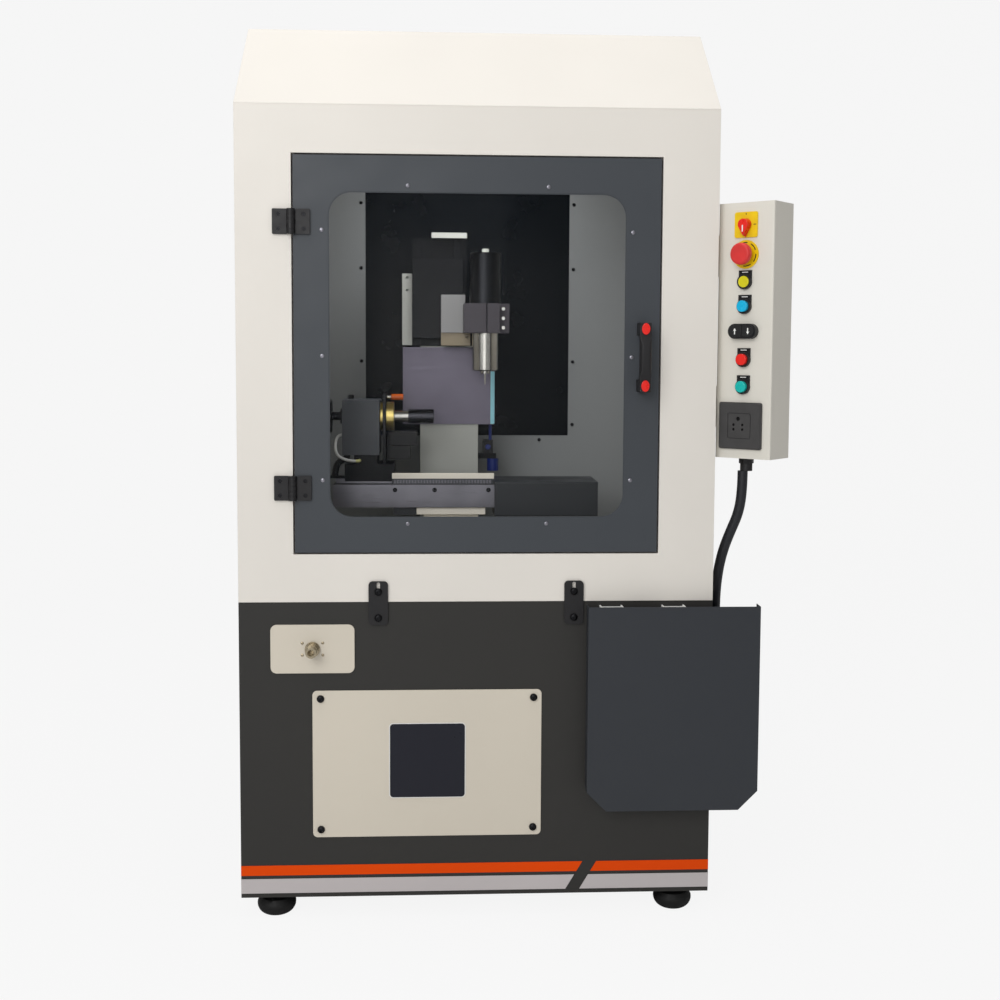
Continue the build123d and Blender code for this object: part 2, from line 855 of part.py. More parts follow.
with BuildPart() as column:
    block(column_x, column_y, (bed_top, column_top))
save(column, "column_post")

with BuildPart() as splash:
    block(splash_x, (column_y[0] - splash_t, column_y[0]), splash_z)
save(splash, "splash_plate")

# X axis: beam with two rails, front plate, cover bar and drive cover
rail_top = beam_z[1] + rail_h
with BuildPart() as beam:
    block(beam_x, beam_y, beam_z)
    block(beam_block_x, (beam_y[0], beam_y[0] + 60), (beam_z[0] - 17, beam_z[0]))
    for y in rail_y:
        block((beam_x[0] + 4, beam_x[1] - 4), (y - rail_w / 2, y + rail_w / 2), (beam_z[1], rail_top))
    cover_y = (beam_y[0] - front_plate_t, beam_y[0] - front_plate_t + cover_t)
    block(cover_x, cover_y, (beam_z[1], cover_z[0] - seat_gap))
    block(cover_x, cover_y, cover_z)
save(beam, "x_beam")

with BuildPart() as front_plate:
    with BuildSketch(facing(beam_y[0])):
        with Locations(((beam_x[0] + beam_x[1]) / 2, (beam_z[0] + beam_z[1]) / 2)):
            Rectangle(beam_x[1] - beam_x[0], beam_z[1] - beam_z[0])
        for x in front_plate_hole_x:
            with Locations((x, beam_z[1] - 11)):
                Circle(front_plate_hole_d / 2, mode=Mode.SUBTRACT)
    extrude(amount=front_plate_t)
save(front_plate, "x_front_plate")

with BuildPart() as drive_cover:
    block(drive_x, drive_y, drive_z)
    fillet(drive_cover.edges().filter_by(Axis.X), radius=3)
save(drive_cover, "x_motor_cover")

# X carriage: foot that straddles the rails, with the riser under the headstock
ledge_w = 38.0
ledge_y = (foot_y[0], rail_y[0] - rail_w / 2 - rail_clear)
ledge_z = (rail_top + rail_clear, rail_top + rail_clear + 5)
with BuildPart() as carriage:
    block(foot_x, foot_y, foot_z)
    block((foot_x[0] - ledge_w, foot_x[0]), ledge_y, ledge_z)
    block(riser_x, foot_y, (foot_z[1], head_z[0]))
    for y in rail_y:
        groove = (y - rail_w / 2 - rail_clear, y + rail_w / 2 + rail_clear)
        block(foot_x, groove, (foot_z[0], rail_top + rail_clear), Mode.SUBTRACT)
save(carriage, "x_carriage")

# Headstock box, bearing plate, clamp lever with its grip, and axis motor with its bracket
ring_1_x = (head_x[1] + head_gap, plate_x[0] - head_gap)
lever_at = (axis_y + 16, plate_top - 10)
grip_d = 13.0
grip_l = 26.0
lever_l = 10.0
motor_z = (888.0, 917.0)
motor_y = (axis_y - 6, axis_y + 30)
gearbox_z = (motor_z[1] + seat_gap, 948.0)
motor_l = 52.0
gearbox_l = 66.0
with BuildPart() as headstock:
    block(head_x, head_y, (head_z[0] + seat_gap, head_z[1]))
    fillet(headstock.edges().filter_by(Axis.Y), radius=2)
    bore_l = head_x[1] - head_x[0]
    round_bar(across(head_x[0]), (axis_y, a_axis_z), rotor_shaft_d + 2 * running_clear, bore_l, Mode.SUBTRACT)
    round_bar(level(head_z[1] + seat_gap), (head_x[0] + 14, axis_y + 25), 14, 9)
    with BuildSketch(across(plate_x[0])) as bearing_plate:
        with BuildLine():
            half = plate_w / 2
            Polyline(
                (axis_y - half, foot_z[1] + seat_gap),
                (axis_y - half, a_axis_z),
                (axis_y - half + 20, plate_top),
                (axis_y + half - 20, plate_top),
                (axis_y + half, a_axis_z),
                (axis_y + half, foot_z[1] + seat_gap),
                close=True,
            )
        make_face()
        with Locations((axis_y, a_axis_z)):
            Circle(neck_d / 2 + running_clear, mode=Mode.SUBTRACT)
    extrude(bearing_plate.sketch, amount=plate_x[1] - plate_x[0])
    motor_face = plate_x[1] + seat_gap
    round_bar(across(motor_face), lever_at, 9, lever_l)
    round_bar(across(motor_face + lever_l + seat_gap), lever_at, grip_d, grip_l)
    block((motor_face, motor_face + motor_l), motor_y, motor_z)
    block((motor_face, motor_face + gearbox_l), (motor_y[0] + 8, motor_y[1] + 4), gearbox_z)
save(headstock, "headstock")

# Headstock cable, from the box's left face round to the riser, and conduit, down to the carriage ledge
wire_d = 6.0
conduit_d = 14.0
wire_front = foot_y[0] - 12
wire_route = (
    (head_x[0], head_y[0] + 12, 943),
    (head_x[0] - 12, head_y[0] + 12, 943),
    (head_x[0] - 10, wire_front, 912),
    (head_x[0] + 14, wire_front, 889),
    (riser_x[0] + 12, wire_front, 889),
    (riser_x[0] + 12, foot_y[0], 889),
)
conduit_x = head_x[0] + conduit_d / 2 + 3
ledge_mid_x = foot_x[0] - ledge_w / 2 - 2
conduit_y = (ledge_y[0] + ledge_y[1]) / 2
conduit_side = foot_x[0] - conduit_d / 2 - 10
conduit_route = (
    (conduit_x, conduit_y, head_z[0]),
    (conduit_x, conduit_y, head_z[0] - 5),
    (conduit_side, conduit_y, foot_z[1] - 2),
    (ledge_mid_x, conduit_y, ledge_z[1] + 10),
    (ledge_mid_x, conduit_y, ledge_z[1]),
)
with BuildPart() as headstock_cables:
    for points, d, bend in ((wire_route, wire_d, 4.5), (conduit_route, conduit_d, 7.5)):
        with BuildLine() as path:
            FilletPolyline(*[(mid_x + x, front_y + y, z) for x, y, z in points], radius=bend)
        with BuildSketch(path.line ^ 0) as end:
            Circle(d / 2)
        sweep(end.sketch, path=path.line)
save(headstock_cables, "headstock_cables")

# A axis: one turned rotor of disc, shaft, rings, shank and mandrel
head_l = head_x[1] - head_x[0]
disc_x = head_x[0] - disc_gap - disc_t - flange_t - head_gap
flange_x = head_x[0] - head_gap - flange_t
ring_2_x = plate_x[1] + head_gap
shank_x = ring_2_x + ring_2_t
mandrel_x = shank_x + shank_l
mandrel_end = mandrel_x + mandrel_l
rotor_steps = (
    (disc_x, disc_x + disc_t, disc_d),
    (disc_x + disc_t, flange_x, rotor_shaft_d),
    (flange_x, flange_x + flange_t, flange_d),
    (flange_x + flange_t, ring_1_x[0], rotor_shaft_d),
    (ring_1_x[0], ring_1_x[1], ring_d),
    (ring_1_x[1], ring_2_x, neck_d),
    (ring_2_x, shank_x, ring_d),
    (shank_x, mandrel_x, shank_d),
    (mandrel_x, mandrel_x + mandrel_l / 2, mandrel_d),
    (mandrel_x + mandrel_l / 2, mandrel_x + mandrel_l / 2 + mandrel_groove, mandrel_d - 3),
    (mandrel_x + mandrel_l / 2 + mandrel_groove, mandrel_end, mandrel_d),
)
with BuildPart() as mandrel:
    for start, end, d in rotor_steps:
        round_bar(across(start), (axis_y, a_axis_z), d, end - start)
    edge = mandrel.faces().sort_by(Axis.X)[-1].edges()
    chamfer(edge, length=1.5)
save(mandrel, "mandrel_rotor")

# Z axis: tower with rails, cap and side strip
with BuildPart() as tower:
    block(tower_x, column_y, (column_top, tower_top - tower_cap))
    cap_z = (tower_top - tower_cap, tower_top)
    block((tower_x[0] + 43, tower_x[1]), (column_y[0] - 20, column_y[1]), cap_z)
    z_rail_y = (column_y[0] - rail_h, column_y[0])
    for x in z_rail_x:
        block((x - rail_w / 2, x + rail_w / 2), z_rail_y, (column_top + 2, z_rail_end))
    block(side_strip_x, (column_y[0] - 12, column_y[1]), side_strip_z)
    strip_mid = (side_strip_x[0] + side_strip_x[1]) / 2
    for z in (side_strip_z[1] - 9, side_strip_z[1] - 37):
        round_bar(facing(column_y[0] + 8), (strip_mid, z), 6, 40, Mode.SUBTRACT)
save(tower, "z_tower")

# Z slide: saddle on the rails, cream and beige blocks, and the split clamp around the spindle
block_back = saddle_y[0] - seat_gap
clamp_back = cream_y - seat_gap
clamp_mid_z = (clamp_z[0] + clamp_z[1]) / 2
clamp_screw_d = 8.0
clamp_screw_pitch = 20.0
with BuildPart() as z_slide:
    block(saddle_x, saddle_y, saddle_z)
    for x in z_rail_x:
        groove = (x - rail_w / 2 - rail_clear, x + rail_w / 2 + rail_clear)
        block(groove, (column_y[0] - rail_h - rail_clear, saddle_y[1]), saddle_z, Mode.SUBTRACT)
    with BuildSketch(facing(block_back)) as cream_block:
        with BuildLine():
            Polyline(
                (cream_x[0], cream_z[0] + seat_gap),
                (cream_x[0], cream_z[1]),
                (cream_x[1], cream_z[1]),
                (cream_x[1], clamp_z[1]),
                (clamp_step_x, clamp_z[1]),
                (clamp_step_x, cream_z[0] + seat_gap),
                close=True,
            )
        make_face()
    extrude(cream_block.sketch, amount=block_back - cream_y)
    block(beige_x, (cream_y + 4, block_back), beige_z)
    round_bar(facing(cream_y + 12), (beige_x[1] - 7, beige_z[1] - 9), 6, 10, Mode.SUBTRACT)
    with BuildSketch(level(clamp_z[0])) as clamp:
        with BuildLine():
            Polyline(
                (clamp_x[0], clamp_y[0]),
                (clamp_x[0], clamp_back),
                (clamp_x[1], clamp_back),
                (clamp_x[1], clamp_y[0] + clamp_step),
                (clamp_step_x, clamp_y[0] + clamp_step),
                (clamp_step_x, clamp_y[0]),
                close=True,
            )
        make_face()
        with Locations((spindle_x, axis_y)):
            Circle(spindle_d / 2, mode=Mode.SUBTRACT)
        with Locations((spindle_x + 2, (clamp_y[0] + axis_y - spindle_d / 2) / 2)):
            Rectangle(clamp_slit, axis_y - spindle_d / 2 - clamp_y[0] + 4, mode=Mode.SUBTRACT)
    extrude(clamp.sketch, amount=clamp_z[1] - clamp_z[0])
    for dz in (-clamp_screw_pitch, 0, clamp_screw_pitch):
        head_at = (clamp_step_x + clamp_screw_d, clamp_mid_z + dz)
        round_bar(facing(clamp_y[0] + clamp_step - seat_gap), head_at, clamp_screw_d, 6)
save(z_slide, "z_slide")

# Spindle: dark motor body with a cap, bright nose below the clamp, bored for the rotor
spindle_at = (spindle_x, axis_y)
with BuildPart() as spindle:
    round_bar(level(clamp_z[0] + seat_gap), spindle_at, spindle_d - 2 * seat_gap, clamp_z[1] - clamp_z[0])
    round_bar(level(clamp_z[1] + seat_gap), spindle_at, motor_d, motor_top - clamp_z[1])
    top_edge = spindle.faces().sort_by(Axis.Z)[-1].edges()
    chamfer(top_edge, length=2)
    round_bar(level(motor_top + 2 * seat_gap), spindle_at, cap_d, 9)
    round_bar(level(nose_bottom), spindle_at, nose_d, clamp_z[0] - nose_bottom)
    low_edge = spindle.faces().sort_by(Axis.Z)[0].edges()
    chamfer(low_edge, length=2)
    round_bar(level(nose_bottom), spindle_at, rotor_stem_d + 2 * running_clear, rotor_bore_l, Mode.SUBTRACT)
save(spindle, "spindle_body")

nut_z = nose_bottom - head_gap
with BuildPart() as cutter:
    round_bar(level(nut_z), spindle_at, rotor_stem_d, rotor_bore_l - 1)
    round_bar(level(nut_z - nut_l), spindle_at, nut_d, nut_l)
    with BuildSketch(level(nut_z - nut_l)) as shank_end:
        with Locations(spindle_at):
            Circle(tool_d / 2)
    extrude(shank_end.sketch, amount=-14)
    tip = cutter.faces().sort_by(Axis.Z)[0]
    extrude(tip, amount=nut_z - nut_l - 14 - tool_tip_z, taper=4)
save(cutter, "cutter_spindle")

# Small valve with a knob and a hose, on a bar from the column's side
valve_mid_y = (valve_y[0] + valve_y[1]) / 2
with BuildPart() as valve:
    arm_z = (valve_z[0] - valve_arm_h, valve_z[0])
    block((column_x[1], valve_arm_end), (valve_y[0] + 4, valve_y[1] - 4), arm_z)
    block(valve_x, valve_y, valve_z)
    round_bar(facing(valve_y[0]), ((valve_x[0] + valve_x[1]) / 2, (valve_z[0] + valve_z[1]) / 2), 12, 8)
    low = valve_z[0] - valve_arm_h - valve_knob_l
    round_bar(level(low), (valve_x[1], valve_mid_y), valve_knob_d, valve_knob_l)
    round_bar(level(valve_z[1]), (valve_x[1] - 6, valve_mid_y), valve_hose_d, valve_hose_l)
save(valve, "valve_block")

# Pendant box and the two folded brackets that carry it
pendant_h = pendant_z[1] - pendant_z[0]
with BuildPart() as pendant:
    with BuildSketch(pendant_face()):
        with Locations((pendant_w / 2, (pendant_z[0] + pendant_z[1]) / 2)):
            Rectangle(pendant_w, pendant_h)
    extrude(amount=-pendant_d)
    fillet(pendant.edges().filter_by(Axis.Z), radius=pendant_r)
save(pendant, "pendant_box")


def beside_box(back, out):
    """Plan position beside the pendant's left side: distance back along it, and out from it."""
    x = pendant_x + back * face_back[0] - out * face_right[0]
    return (x, pendant_y + back * face_back[1] - out * face_right[1])


bracket_lows = (pendant_z[0] + bracket_inset, pendant_z[1] - bracket_inset - bracket_h)
with BuildPart() as pendant_brackets:
    for low in bracket_lows:
        with BuildSketch(level(low)) as fold:
            with BuildLine():
                Polyline(
                    (half_w, pendant_y + 2),
                    (half_w, pendant_y + bracket_back),
                    (half_w + bracket_sheet_t, pendant_y + bracket_back),
                    (half_w + bracket_sheet_t, pendant_y + 12),
                    beside_box(13, bracket_sheet_t),
                    beside_box(bracket_leaf, bracket_sheet_t),
                    beside_box(bracket_leaf, 0),
                    beside_box(pendant_r + 1, 0),
                    close=True,
                )
            make_face()
        extrude(fold.sketch, amount=bracket_h)
save(pendant_brackets, "pendant_brackets")

# Yellow plates behind the rotary switch and the emergency stop
plate_lift = 2.5
knob_pin_d = 12.0
with BuildPart() as legends:
    with BuildSketch(pendant_face()):
        with Locations((control_s, switch_z)):
            RectangleRounded(switch_side, switch_side, 4)
            Circle(knob_pin_d / 2 + running_clear, mode=Mode.SUBTRACT)
        with Locations((control_s, stop_z)):
            Circle(stop_ring_d / 2)
            Circle(stop_stem_d / 2 + button_clear, mode=Mode.SUBTRACT)
    extrude(amount=plate_lift)
    with BuildSketch(pendant_face()) as collar:
        with Locations((control_s, stop_z)):
            Circle(stop_collar_d / 2)
            Circle(stop_stem_d / 2 + button_clear, mode=Mode.SUBTRACT)
    extrude(collar.sketch, amount=stop_collar_h)
save(legends, "legend_plates")

knob_r = 12.0
knob_point = 24.0
knob_h = 14.0
with BuildPart() as knob:
    round_bar(pendant_face(0.2), (control_s, switch_z), knob_pin_d, plate_lift + 0.2)
    with BuildSketch(pendant_face(plate_lift + 0.3)) as teardrop:
        with BuildLine():
            rise = asin(knob_r / knob_point)
            touch = (knob_r * cos(rise), -knob_r * sin(rise))
            Line((control_s - touch[0], switch_z + touch[1]), (control_s, switch_z - knob_point))
            Line((control_s, switch_z - knob_point), (control_s + touch[0], switch_z + touch[1]))
            ThreePointArc(
                (control_s + touch[0], switch_z + touch[1]),
                (control_s, switch_z + knob_r),
                (control_s - touch[0], switch_z + touch[1]),
            )
        make_face()
    extrude(teardrop.sketch, amount=knob_h, taper=6)
save(knob, "rotary_knob")

# Emergency stop: stem that slides in the panel's ring, mushroom head that twists on the stem
stop_at = (control_s, stop_z)
head_h = 17.0
head_lift = stop_collar_h + stop_travel + 0.5
stem_start = stop_travel + 0.3
with BuildPart() as stop_stem:
    round_bar(pendant_face(stem_start), stop_at, stop_stem_d, head_lift - stem_start)
    round_bar(pendant_face(head_lift), stop_at, stop_stem_d / 2, head_h * 0.6)
save(stop_stem, "estop_stem")

with BuildPart() as stop_head:
    head_plane = pendant_face(head_lift + 0.3)
    with BuildSketch(head_plane) as head_base:
        with Locations(stop_at):
            Circle(stop_stem_d / 2 + 3)
    extrude(head_base.sketch, amount=head_h * 0.4)
    with BuildSketch(pendant_face(head_lift + 0.3 + head_h * 0.3)) as head_disc:
        with Locations(stop_at):
            Circle(stop_head_d / 2)
    extrude(head_disc.sketch, amount=head_h * 0.7)
    crown = stop_head.faces().sort_by(Axis(head_plane.origin, head_plane.z_dir))[-1].edges()
    fillet(crown, radius=5)
    round_bar(head_plane, stop_at, stop_stem_d / 2 + 2 * running_clear, head_h * 0.6 + 0.3, Mode.SUBTRACT)
save(stop_head, "estop_head")

# Label holders with round bezels, and the bezel of the twin button
bezel_floor = 1.0
with BuildPart() as bezels:
    for z in button_z.values():
        with BuildSketch(pendant_face()) as holder:
            with Locations((control_s, z)):
                Circle(bezel_d / 2)
            with Locations((control_s, z + label_up / 2)):
                Rectangle(bezel_d - 1, label_up)
        extrude(holder.sketch, amount=label_t)
        round_bar(pendant_face(label_t), (control_s, z), bezel_d, bezel_h - label_t)
        bore_l = bezel_h - bezel_floor
        bore_d = button_d + 2 * button_clear
        round_bar(pendant_face(bezel_floor), (control_s, z), bore_d, bore_l, Mode.SUBTRACT)
    with BuildSketch(pendant_face()) as twin:
        with Locations((control_s, twin_z)):
            SlotOverall(twin_w, twin_h)
    extrude(twin.sketch, amount=twin_depth)
    with BuildSketch(pendant_face(bezel_floor)) as twin_hole:
        with Locations((control_s, twin_z)):
            SlotOverall(twin_w - 2 * twin_wall, twin_h - 2 * twin_wall)
    extrude(twin_hole.sketch, amount=twin_depth, mode=Mode.SUBTRACT)
save(bezels, "button_bezels")

for colour, z in button_z.items():
    with BuildPart() as push:
        start = bezel_floor + button_travel + 0.3
        round_bar(pendant_face(start), (control_s, z), button_d, button_lift[colour] - start)
        rim = push.faces().sort_by(Axis(pendant_face().origin, pendant_face().z_dir))[-1].edges()
        fillet(rim, radius=1.2)
    save(push, f"button_{colour}")

twin_side = twin_wall + button_clear
for name, side in (("up", -1), ("down", 1)):
    with BuildPart() as arrow:
        with BuildSketch(pendant_face(bezel_floor + button_travel + 0.3)):
            with Locations((control_s, twin_z)):
                SlotOverall(twin_w - 2 * twin_side, twin_h - 2 * twin_side)
            with Locations((control_s - side * twin_w / 2, twin_z)):
                Rectangle(twin_w + 2 * button_clear, twin_h, mode=Mode.SUBTRACT)
        extrude(amount=twin_depth + twin_rise - bezel_floor - button_travel - 0.3)
    save(arrow, f"button_{name}")

# Mains socket with a square module and five pin holes
pin_grid = ((-2.5, 13.5, 4.0), (-12, 2, 2.6), (7, 2, 2.6), (-12, -7, 2.6), (7, -7, 2.6))
with BuildPart() as socket:
    with BuildSketch(pendant_face()):
        with Locations((socket_s, socket_z)):
            RectangleRounded(socket_side, socket_side, 4)
    extrude(amount=socket_t)
    front_edges = socket.faces().sort_by(Axis(pendant_face().origin, pendant_face().z_dir))[-1].edges()
    chamfer(front_edges, length=3)
    with BuildSketch(pendant_face(socket_t)) as frame_line:
        with Locations((socket_s, socket_z)):
            RectangleRounded(module_side + 3, module_side + 3, 3)
            RectangleRounded(module_side, module_side, 3, mode=Mode.SUBTRACT)
    extrude(frame_line.sketch, amount=-1.5, mode=Mode.SUBTRACT)
    for ds, dz, r in pin_grid:
        with BuildSketch(pendant_face(socket_t)) as pin_hole:
            with Locations((socket_s + ds, socket_z + dz)):
                Circle(r)
        extrude(pin_hole.sketch, amount=-5, mode=Mode.SUBTRACT)
save(socket, "socket_plate")

# Glands: under the pendant, an elbow on the base's right side, and the mains entry at the back
gland_at = (
    pendant_x + gland_s * face_right[0] + gland_depth * face_back[0],
    pendant_y + gland_s * face_right[1] + gland_depth * face_back[1],
)
gland_bottom = pendant_z[0] - gland_l
elbow_mid_z = elbow_z[0] + gland_d / 2 - 2
with BuildPart() as glands:
    round_bar(level(gland_bottom), gland_at, gland_d - 6, gland_l)
    with BuildSketch(level(pendant_z[0] - gland_l * 0.45)) as nut:
        with Locations(gland_at):
            RegularPolygon(gland_d / 2, 6)
    extrude(nut.sketch, amount=gland_l * 0.45)
    round_bar(level(elbow_z[0]), (elbow_x, elbow_y), gland_d - 4, elbow_z[1] - elbow_z[0])
    round_bar(across(half_w), (elbow_y, elbow_mid_z), gland_d - 6, elbow_x - half_w)
    round_bar(across(half_w), (elbow_y, elbow_mid_z), gland_d, 4)
    rear_at = (mid_x - half_w + rear_gland_in, front_y + cab_d, rear_gland_z)
    rear = Plane(rear_at, x_dir=(-1, 0, 0), z_dir=(0, 1, 0))
    round_bar(rear, (0, 0), rear_gland_d, rear_gland_l * 0.5)
    round_bar(rear, (0, 0), rear_gland_d * 0.7, rear_gland_l)
save(glands, "cable_glands")

# Pendant cable: straight runs joined by tangent arcs, from the pendant's gland to the elbow
cable_route = [
    (gland_at[0], gland_at[1], gland_bottom),
    (gland_at[0], gland_at[1], 853.0),
    (half_w + 55.0, 25.0, 806.0),
    (half_w + 39.6, 35.0, 763.0),
    (half_w + 28.5, 42.0, 728.0),
    (half_w + 21.8, 49.5, 691.0),
    (half_w + 18.4, 57.0, 648.0),
    (half_w + 18.3, 62.0, 600.0),
    (elbow_x, elbow_y, 556.0),
    (elbow_x, elbow_y, elbow_z[1]),
]


def arc_radii(points):
    """Largest arcs that the runs allow: 0.45 of the shorter run over the tangent of half the turn."""
    radii = []
    for before, corner, after in zip(points, points[1:], points[2:]):
        first = Vector(*corner) - Vector(*before)
        second = Vector(*after) - Vector(*corner)
        half_turn = radians(first.get_angle(second)) / 2
        radii.append(0.45 * min(first.length, second.length) / tan(half_turn))
    return radii


cable_radii = arc_radii(cable_route)
print("cable radii", [round(r) for r in cable_radii])
with BuildPart() as pendant_cable:
    with BuildLine() as route:
        FilletPolyline(*[(mid_x + x, front_y + y, z) for x, y, z in cable_route], radius=cable_radii)
    with BuildSketch(route.line ^ 0):
        Circle(cable_d / 2)
    sweep()
cable_length = sum(run.length for run in route.edges())
print("cable volume over section times length", pendant_cable.part.volume / (pi * cable_d**2 / 4 * cable_length))
save(pendant_cable, "pendant_cable")
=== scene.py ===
"""Dressed model of a floor-standing bangle cutting machine: cabinet, door, mechanism, pendant, shelf."""

from __future__ import annotations

import json
import logging
import math
from collections.abc import Sequence
from dataclasses import dataclass, field
from enum import Enum

import bmesh
import bpy
from mathutils import Euler, Matrix, Vector

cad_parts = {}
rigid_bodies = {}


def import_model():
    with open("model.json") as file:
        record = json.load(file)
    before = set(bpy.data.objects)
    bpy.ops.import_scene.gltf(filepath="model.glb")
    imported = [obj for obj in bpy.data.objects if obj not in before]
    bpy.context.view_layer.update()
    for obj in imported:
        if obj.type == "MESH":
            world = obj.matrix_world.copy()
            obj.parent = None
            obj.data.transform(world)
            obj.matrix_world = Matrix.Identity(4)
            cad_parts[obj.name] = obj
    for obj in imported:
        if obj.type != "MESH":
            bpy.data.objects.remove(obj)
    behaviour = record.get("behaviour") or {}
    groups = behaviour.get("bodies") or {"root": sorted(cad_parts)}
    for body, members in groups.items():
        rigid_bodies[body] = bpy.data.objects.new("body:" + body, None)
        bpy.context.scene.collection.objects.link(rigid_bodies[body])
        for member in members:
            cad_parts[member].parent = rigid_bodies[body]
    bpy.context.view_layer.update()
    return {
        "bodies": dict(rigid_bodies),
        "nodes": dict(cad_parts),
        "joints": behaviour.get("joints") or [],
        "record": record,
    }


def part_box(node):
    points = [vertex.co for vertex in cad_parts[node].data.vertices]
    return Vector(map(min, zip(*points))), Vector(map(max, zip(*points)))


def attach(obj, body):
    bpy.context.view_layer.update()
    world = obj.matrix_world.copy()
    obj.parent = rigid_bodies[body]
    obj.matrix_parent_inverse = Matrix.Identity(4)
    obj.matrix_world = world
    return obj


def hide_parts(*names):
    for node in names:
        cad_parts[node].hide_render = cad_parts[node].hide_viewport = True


LOG = logging.getLogger("bangle_machine")

MID_X = -73.39898
FRONT_Y = -413.07411
PENDANT_X = 469.0
PENDANT_Y = 21.0
PENDANT_TURN = math.radians(41.5)
CONTROL_S = 60.0

WELD = 2e-6
FLAT_ANGLE = 0.4
PIECE_ANGLE = 30
EDGE_ANGLE = 40
TURNED_ANGLE = 35
SWEEP_ANGLE = 40

Colour = tuple[float, float, float, float]
Point = tuple[float, float, float]
Span = tuple[float, float]
Outlines = list[list[Span]]


def at(x: float, y: float, z: float) -> Vector:
    """Turn a place in cabinet millimetres into the model's frame.

    Args:
        x: Millimetres right of the cabinet's middle.
        y: Millimetres behind the cabinet's front.
        z: Millimetres above the floor.

    Returns:
        The place in metres.
    """
    return Vector((x + MID_X, y + FRONT_Y, z)) / 1000


def tint(red: int, green: int, blue: int) -> Colour:
    """Turn an 8-bit display colour into a linear one with full alpha."""
    parts = [c / 255 for c in (red, green, blue)]
    linear = [c / 12.92 if c <= 0.04045 else ((c + 0.055) / 1.055) ** 2.4 for c in parts]
    return (linear[0], linear[1], linear[2], 1.0)


def placed(name: str, data: bpy.types.ID) -> bpy.types.Object:
    """Put mesh, curve, light or camera data in the scene as an object."""
    holder = bpy.data.objects.new(name, data)
    bpy.context.scene.collection.objects.link(holder)
    return holder


class Side(Enum):
    """Direction that a brushed or turned grain runs along."""

    ACROSS = (1, 0, 0)
    DEEP = (0, 1, 0)
    UP = (0, 0, 1)


class Graph:
    """Shader tree of one material, with the few node patterns that the finishes share."""

    def __init__(self, name: str) -> None:
        """Start a material with an empty principled surface."""
        self.material = bpy.data.materials.new(name)
        self.material.use_nodes = True
        self.nodes = self.material.node_tree.nodes
        self.links = self.material.node_tree.links
        self.surface = self.nodes["Principled BSDF"]

    def put(self, kind: str, **inputs: object) -> bpy.types.Node:
        """Add a node and set its inputs, named with underscores for spaces."""
        node = self.nodes.new(kind)
        for key, value in inputs.items():
            node.inputs[key.replace("_", " ")].default_value = value
        return node

    def noise(self, scale: Point, detail: float = 3.0) -> bpy.types.NodeSocket:
        """Add noise on object coordinates, with cycles for each metre along X, Y and Z."""
        place = self.put("ShaderNodeTexCoord")
        mapping = self.put("ShaderNodeMapping", Scale=scale)
        texture = self.put("ShaderNodeTexNoise", Scale=1.0, Detail=detail)
        self.links.new(place.outputs["Object"], mapping.inputs["Vector"])
        self.links.new(mapping.outputs["Vector"], texture.inputs["Vector"])
        return texture.outputs["Fac"]

    def spread(self, source: bpy.types.NodeSocket, low: float, high: float) -> bpy.types.NodeSocket:
        """Map a noise's middle range to values from low to high."""
        node = self.nodes.new("ShaderNodeMapRange")
        for index, value in enumerate((0.3, 0.7, low, high), start=1):
            node.inputs[index].default_value = value
        self.links.new(source, node.inputs[0])
        return node.outputs[0]

    def blend(self, factor: bpy.types.NodeSocket, first: Colour, second: Colour) -> bpy.types.NodeSocket:
        """Mix two colours by a factor, the first at zero."""
        node = self.nodes.new("ShaderNodeMix")
        node.data_type = "RGBA"
        node.inputs[6].default_value = first
        node.inputs[7].default_value = second
        self.links.new(factor, node.inputs[0])
        return node.outputs[2]

    def relief(self, height: bpy.types.NodeSocket, strength: float, depth_mm: float) -> None:
        """Drive the surface's normal from a height, with a depth in millimetres."""
        node = self.put("ShaderNodeBump", Strength=strength, Distance=depth_mm / 1000)
        self.links.new(height, node.inputs["Height"])
        self.links.new(node.outputs["Normal"], self.surface.inputs["Normal"])

    def tone(self, source: bpy.types.NodeSocket, colour: Colour, share: float) -> None:
        """Let the surface's colour drift with a noise between a share of its brightness and all of it."""
        mixed = self.blend(self.spread(source, 0, 1), darker(colour, share), colour)
        self.links.new(mixed, self.surface.inputs["Base Color"])

    def rough(self, socket: bpy.types.NodeSocket) -> None:
        """Link the surface's roughness."""
        self.links.new(socket, self.surface.inputs["Roughness"])


def darker(colour: Colour, share: float) -> Colour:
    """Scale a colour's brightness and keep its alpha."""
    return (colour[0] * share, colour[1] * share, colour[2] * share, 1.0)


@dataclass(frozen=True)
class PowderCoat:
    """Baked coating with a fine orange peel and a slow drift of tone."""

    name: str
    colour: Colour
    gloss: float = 0.42
    drift: float = 0.94
    peel_mm: float = 1.6
    relief: float = 0.10
    shine: float = 0.32

    def build(self) -> bpy.types.Material:
        """Make the material."""
        graph = Graph(self.name)
        graph.tone(graph.noise((2.3, 2.3, 1.7), 2), self.colour, self.drift)
        peel = 1000 / self.peel_mm
        fine = graph.noise((peel, peel, peel), 2)
        graph.rough(graph.spread(graph.noise((14, 14, 14), 3), self.gloss - 0.05, self.gloss + 0.07))
        graph.relief(fine, self.relief, 0.15)
        graph.surface.inputs["Specular IOR Level"].default_value = self.shine
        return graph.material


